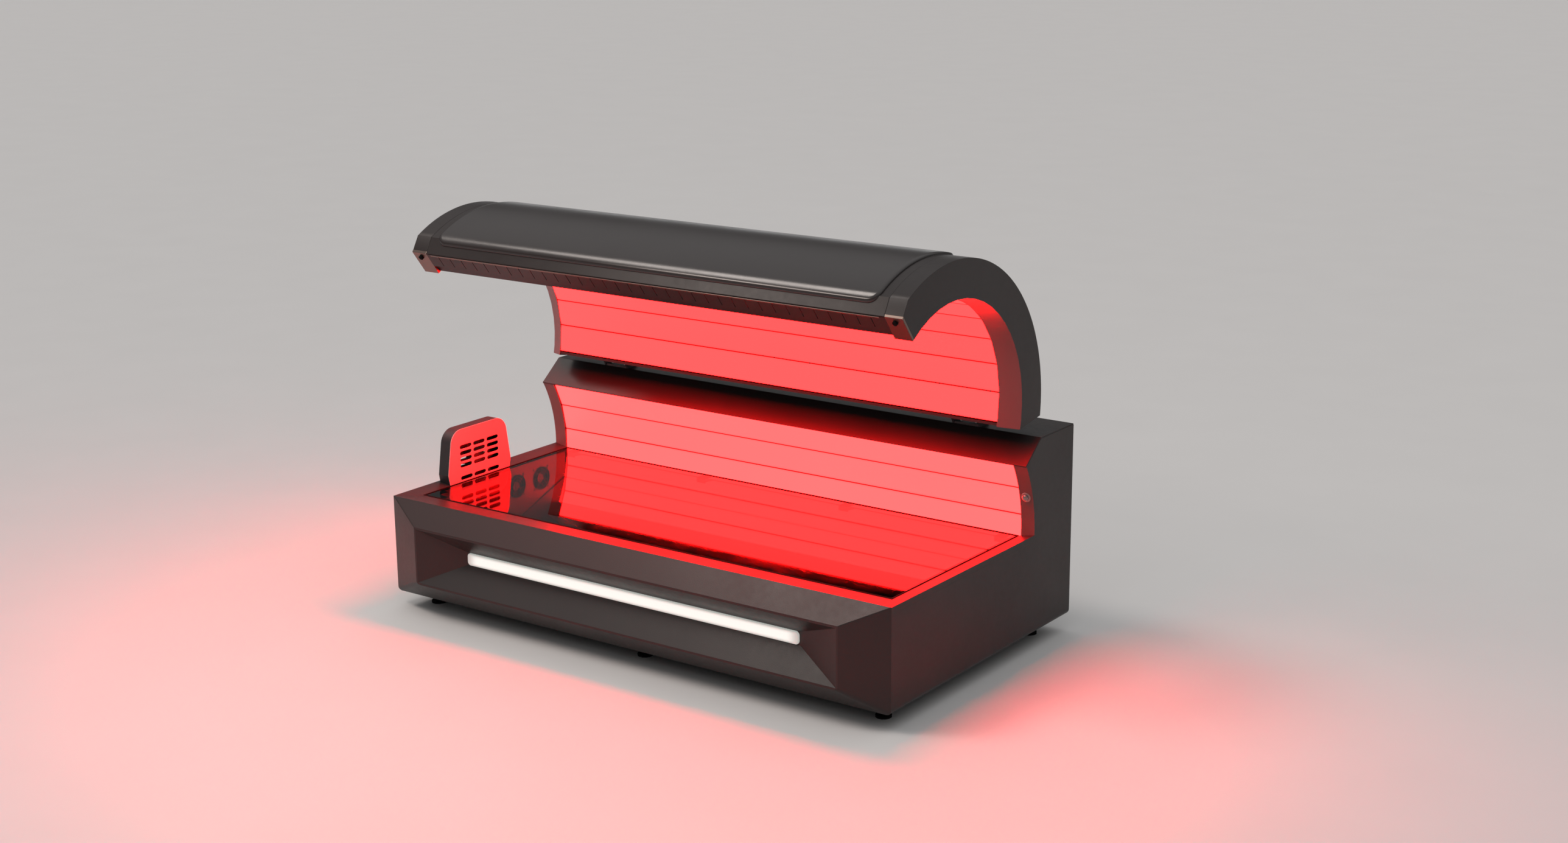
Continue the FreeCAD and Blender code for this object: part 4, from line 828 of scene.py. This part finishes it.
class POD_OT_raised_panel(bpy.types.Operator):
    """Raised gloss panel on the canopy, rolled over the nose, with rounded corners"""

    bl_idname = "pod.raised_panel"
    bl_label = "Raised canopy panel"

    BELOW_ROLL = 0.009
    SUNK = -0.003
    EDGE_STEPS, INNER_STEPS = 6, 8

    def execute(self, context):
        finishes, fittings = settings()[0], context.scene.pod_fittings
        low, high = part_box("canopy_front_panel")
        mesh = self.build(fittings, (high.x - low.x) / 2)
        mesh.shade_smooth()
        mesh.materials.append(moulded("Gloss black moulding", finishes.casing_colour, 0.16, 0.26,
                                      finishes.grain_size, 0.10, 0.06))
        panel = bpy.data.objects.new("raised_panel", mesh)
        context.scene.collection.objects.link(panel)
        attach(panel, "canopy")
        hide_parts("canopy_front_panel")
        return {"FINISHED"}

    def build(self, fittings, half):
        curve = CanopyCurve(fittings.nose_roll)
        sheet = PanelSheet(half, curve.roll_end + self.BELOW_ROLL, fittings.corner)
        edge, rest = fittings.edge_roll, fittings.corner - fittings.edge_roll
        insets = [edge * (k / self.EDGE_STEPS) ** 2 for k in range(self.EDGE_STEPS + 1)]
        insets += [edge + rest * k / self.INNER_STEPS for k in range(1, self.INNER_STEPS + 1)]
        made = bmesh.new()

        def point(x, along, rise):
            place, out = curve.at(along)
            return made.verts.new((x, *(place + out * rise)))

        rims = []
        for top in (True, False):
            loops = []
            for inset in insets:
                share = min(inset / edge, 1.0)
                rise = fittings.proud * math.sqrt(1 - (1 - share) ** 2) if top else self.SUNK
                loops.append([point(x, along, rise) for x, along in sheet.loop(inset)])
            for outer, inner in zip(loops, loops[1:]):
                self.bridge(made, outer, inner)
            rise = fittings.proud if top else self.SUNK
            rows = [[point(x, along, rise) for x, along in row] for row in sheet.grid()]
            for below, above in zip(rows, rows[1:]):
                for i in range(len(below) - 1):
                    made.faces.new((below[i], below[i + 1], above[i + 1], above[i]))
            rims.append(loops[0])
        self.bridge(made, *rims)
        bmesh.ops.remove_doubles(made, verts=made.verts, dist=2e-6)
        bmesh.ops.dissolve_degenerate(made, edges=made.edges, dist=1e-7)
        bmesh.ops.recalc_face_normals(made, faces=made.faces)
        mesh = bpy.data.meshes.new("raised_panel")
        made.to_mesh(mesh)
        made.free()
        return mesh

    @staticmethod
    def bridge(made, first, second):
        """Quads between two closed loops of points."""
        for k in range(len(first)):
            after = (k + 1) % len(first)
            made.faces.new((first[k], first[after], second[after], second[k]))


class POD_OT_stage(bpy.types.Operator):
    """Pale floor, soft lamps and the camera"""

    bl_idname = "pod.stage"
    bl_label = "Studio"

    def execute(self, context):
        stage = settings()[2]
        scene = context.scene
        scene.view_settings.view_transform = "Standard"
        mesh = bpy.data.meshes.new("floor")
        reach = stage.floor_size / 2
        corners = [(-reach, -reach, 0), (reach, -reach, 0), (reach, reach, 0), (-reach, reach, 0)]
        mesh.from_pydata(corners, [], [(0, 1, 2, 3)])
        floor = bpy.data.objects.new("floor", mesh)
        scene.collection.objects.link(floor)
        net, shader, made = material("Plain pale floor", Roughness=0.65)
        cloud = net.noise(net.place(), 2.5, 3.0)
        join(net, shader, Base_Color=net.mix(cloud, (0.68, 0.67, 0.665), (0.71, 0.70, 0.695)))
        mesh.materials.append(made)
        self.light_world(scene, stage)
        self.hang_lamp(scene, "Key lamp", towards=(-0.549, -0.260, 0.794), spread=16.0,
                       strength=0.65 * stage.key)
        self.hang_softbox(scene, "Soft box", place=(-0.85, -2.05, 2.70), target=(0.3, -0.45, 0.75),
                          size=(1.3, 0.3), power=20 * stage.key)
        self.set_camera(scene, stage)
        return {"FINISHED"}

    def light_world(self, scene, stage):
        world = bpy.data.worlds.new("Soft studio")
        scene.world = world
        world.use_nodes = True
        tree = world.node_tree
        tree.nodes.clear()
        net = Net(tree)
        height = net.split(net.place("Generated"))["Z"]
        above = net.span(height, 0.30, 1.0, stage.walls, stage.overhead)
        band = net.span(height, 0.06, 0.15, stage.backdrop - stage.walls, 0.0, smooth=True)
        glow = net.math("ADD", above, band)
        soft = net.add("ShaderNodeBackground", {"Color": (1.0, 1.0, 1.0, 1.0), "Strength": glow})
        net.add("ShaderNodeOutputWorld", {"Surface": soft.outputs[0]})

    def hang_lamp(self, scene, name, towards, spread, strength):
        data = bpy.data.lights.new(name, "SUN")
        data.angle = math.radians(spread)
        data.energy = strength
        data.color = (1.0, 0.90, 0.84)
        lamp = bpy.data.objects.new(name, data)
        scene.collection.objects.link(lamp)
        lamp.rotation_euler = Vector(towards).to_track_quat("Z", "Y").to_euler()

    def hang_softbox(self, scene, name, place, target, size, power):
        data = bpy.data.lights.new(name, "AREA")
        data.shape = "RECTANGLE"
        data.size, data.size_y = size
        data.energy = power
        data.color = (1.0, 0.86, 0.78)
        lamp = bpy.data.objects.new(name, data)
        scene.collection.objects.link(lamp)
        lamp.location = place
        lamp.rotation_euler = (Vector(place) - Vector(target)).to_track_quat("Z", "Y").to_euler()
        lamp.visible_camera = False

    def set_camera(self, scene, stage):
        azimuth, elevation, roll = (math.radians(angle) for angle in CAMERA_ANGLES)
        back = Vector((math.sin(azimuth) * math.cos(elevation), -math.cos(azimuth) * math.cos(elevation),
                       math.sin(elevation)))
        level = Vector((math.cos(azimuth), math.sin(azimuth), 0))
        upward = back.cross(level)
        right = math.cos(roll) * level + math.sin(roll) * upward
        up = -math.sin(roll) * level + math.cos(roll) * upward
        data = bpy.data.cameras.new("Camera")
        data.lens = stage.focal
        data.sensor_width = 36.0
        data.sensor_fit = "HORIZONTAL"
        camera = bpy.data.objects.new("Camera", data)
        scene.collection.objects.link(camera)
        turn = Matrix((right, up, back)).transposed().to_4x4()
        camera.matrix_world = Matrix.Translation(CAMERA_PLACE) @ turn
        scene.camera = camera


OPERATORS = (POD_OT_casing, POD_OT_plastics, POD_OT_paint, POD_OT_panels, POD_OT_clear_bed,
             POD_OT_front_bar, POD_OT_metal, POD_OT_rubber, POD_OT_edges, POD_OT_fan_guards,
             POD_OT_raised_panel, POD_OT_stage)


class POD_PT_parts(bpy.types.Panel):
    """Lists the pod's finishes and pieces in the order they are made"""

    bl_idname = "POD_PT_parts"
    bl_label = "Light therapy pod"
    bl_space_type = "VIEW_3D"
    bl_region_type = "UI"
    bl_category = "Pod"

    def draw(self, context):
        for made in OPERATORS:
            self.layout.operator(made.bl_idname)
        for group in settings() + (context.scene.pod_fittings,):
            for field in group.__annotations__:
                self.layout.prop(group, field)


CLASSES = (PodFinishes, PodLight, PodFittings, PodStage) + OPERATORS + (POD_PT_parts,)


def register():
    for made in CLASSES:
        bpy.utils.register_class(made)
    bpy.types.Scene.pod_finishes = bpy.props.PointerProperty(type=PodFinishes)
    bpy.types.Scene.pod_light = bpy.props.PointerProperty(type=PodLight)
    bpy.types.Scene.pod_fittings = bpy.props.PointerProperty(type=PodFittings)
    bpy.types.Scene.pod_stage = bpy.props.PointerProperty(type=PodStage)


def unregister():
    del bpy.types.Scene.pod_stage
    del bpy.types.Scene.pod_fittings
    del bpy.types.Scene.pod_light
    del bpy.types.Scene.pod_finishes
    for made in reversed(CLASSES):
        bpy.utils.unregister_class(made)


def main():
    register()
    for made in OPERATORS:
        group, name = made.bl_idname.split(".")
        getattr(getattr(bpy.ops, group), name)()


if __name__ == "__main__":
    main()
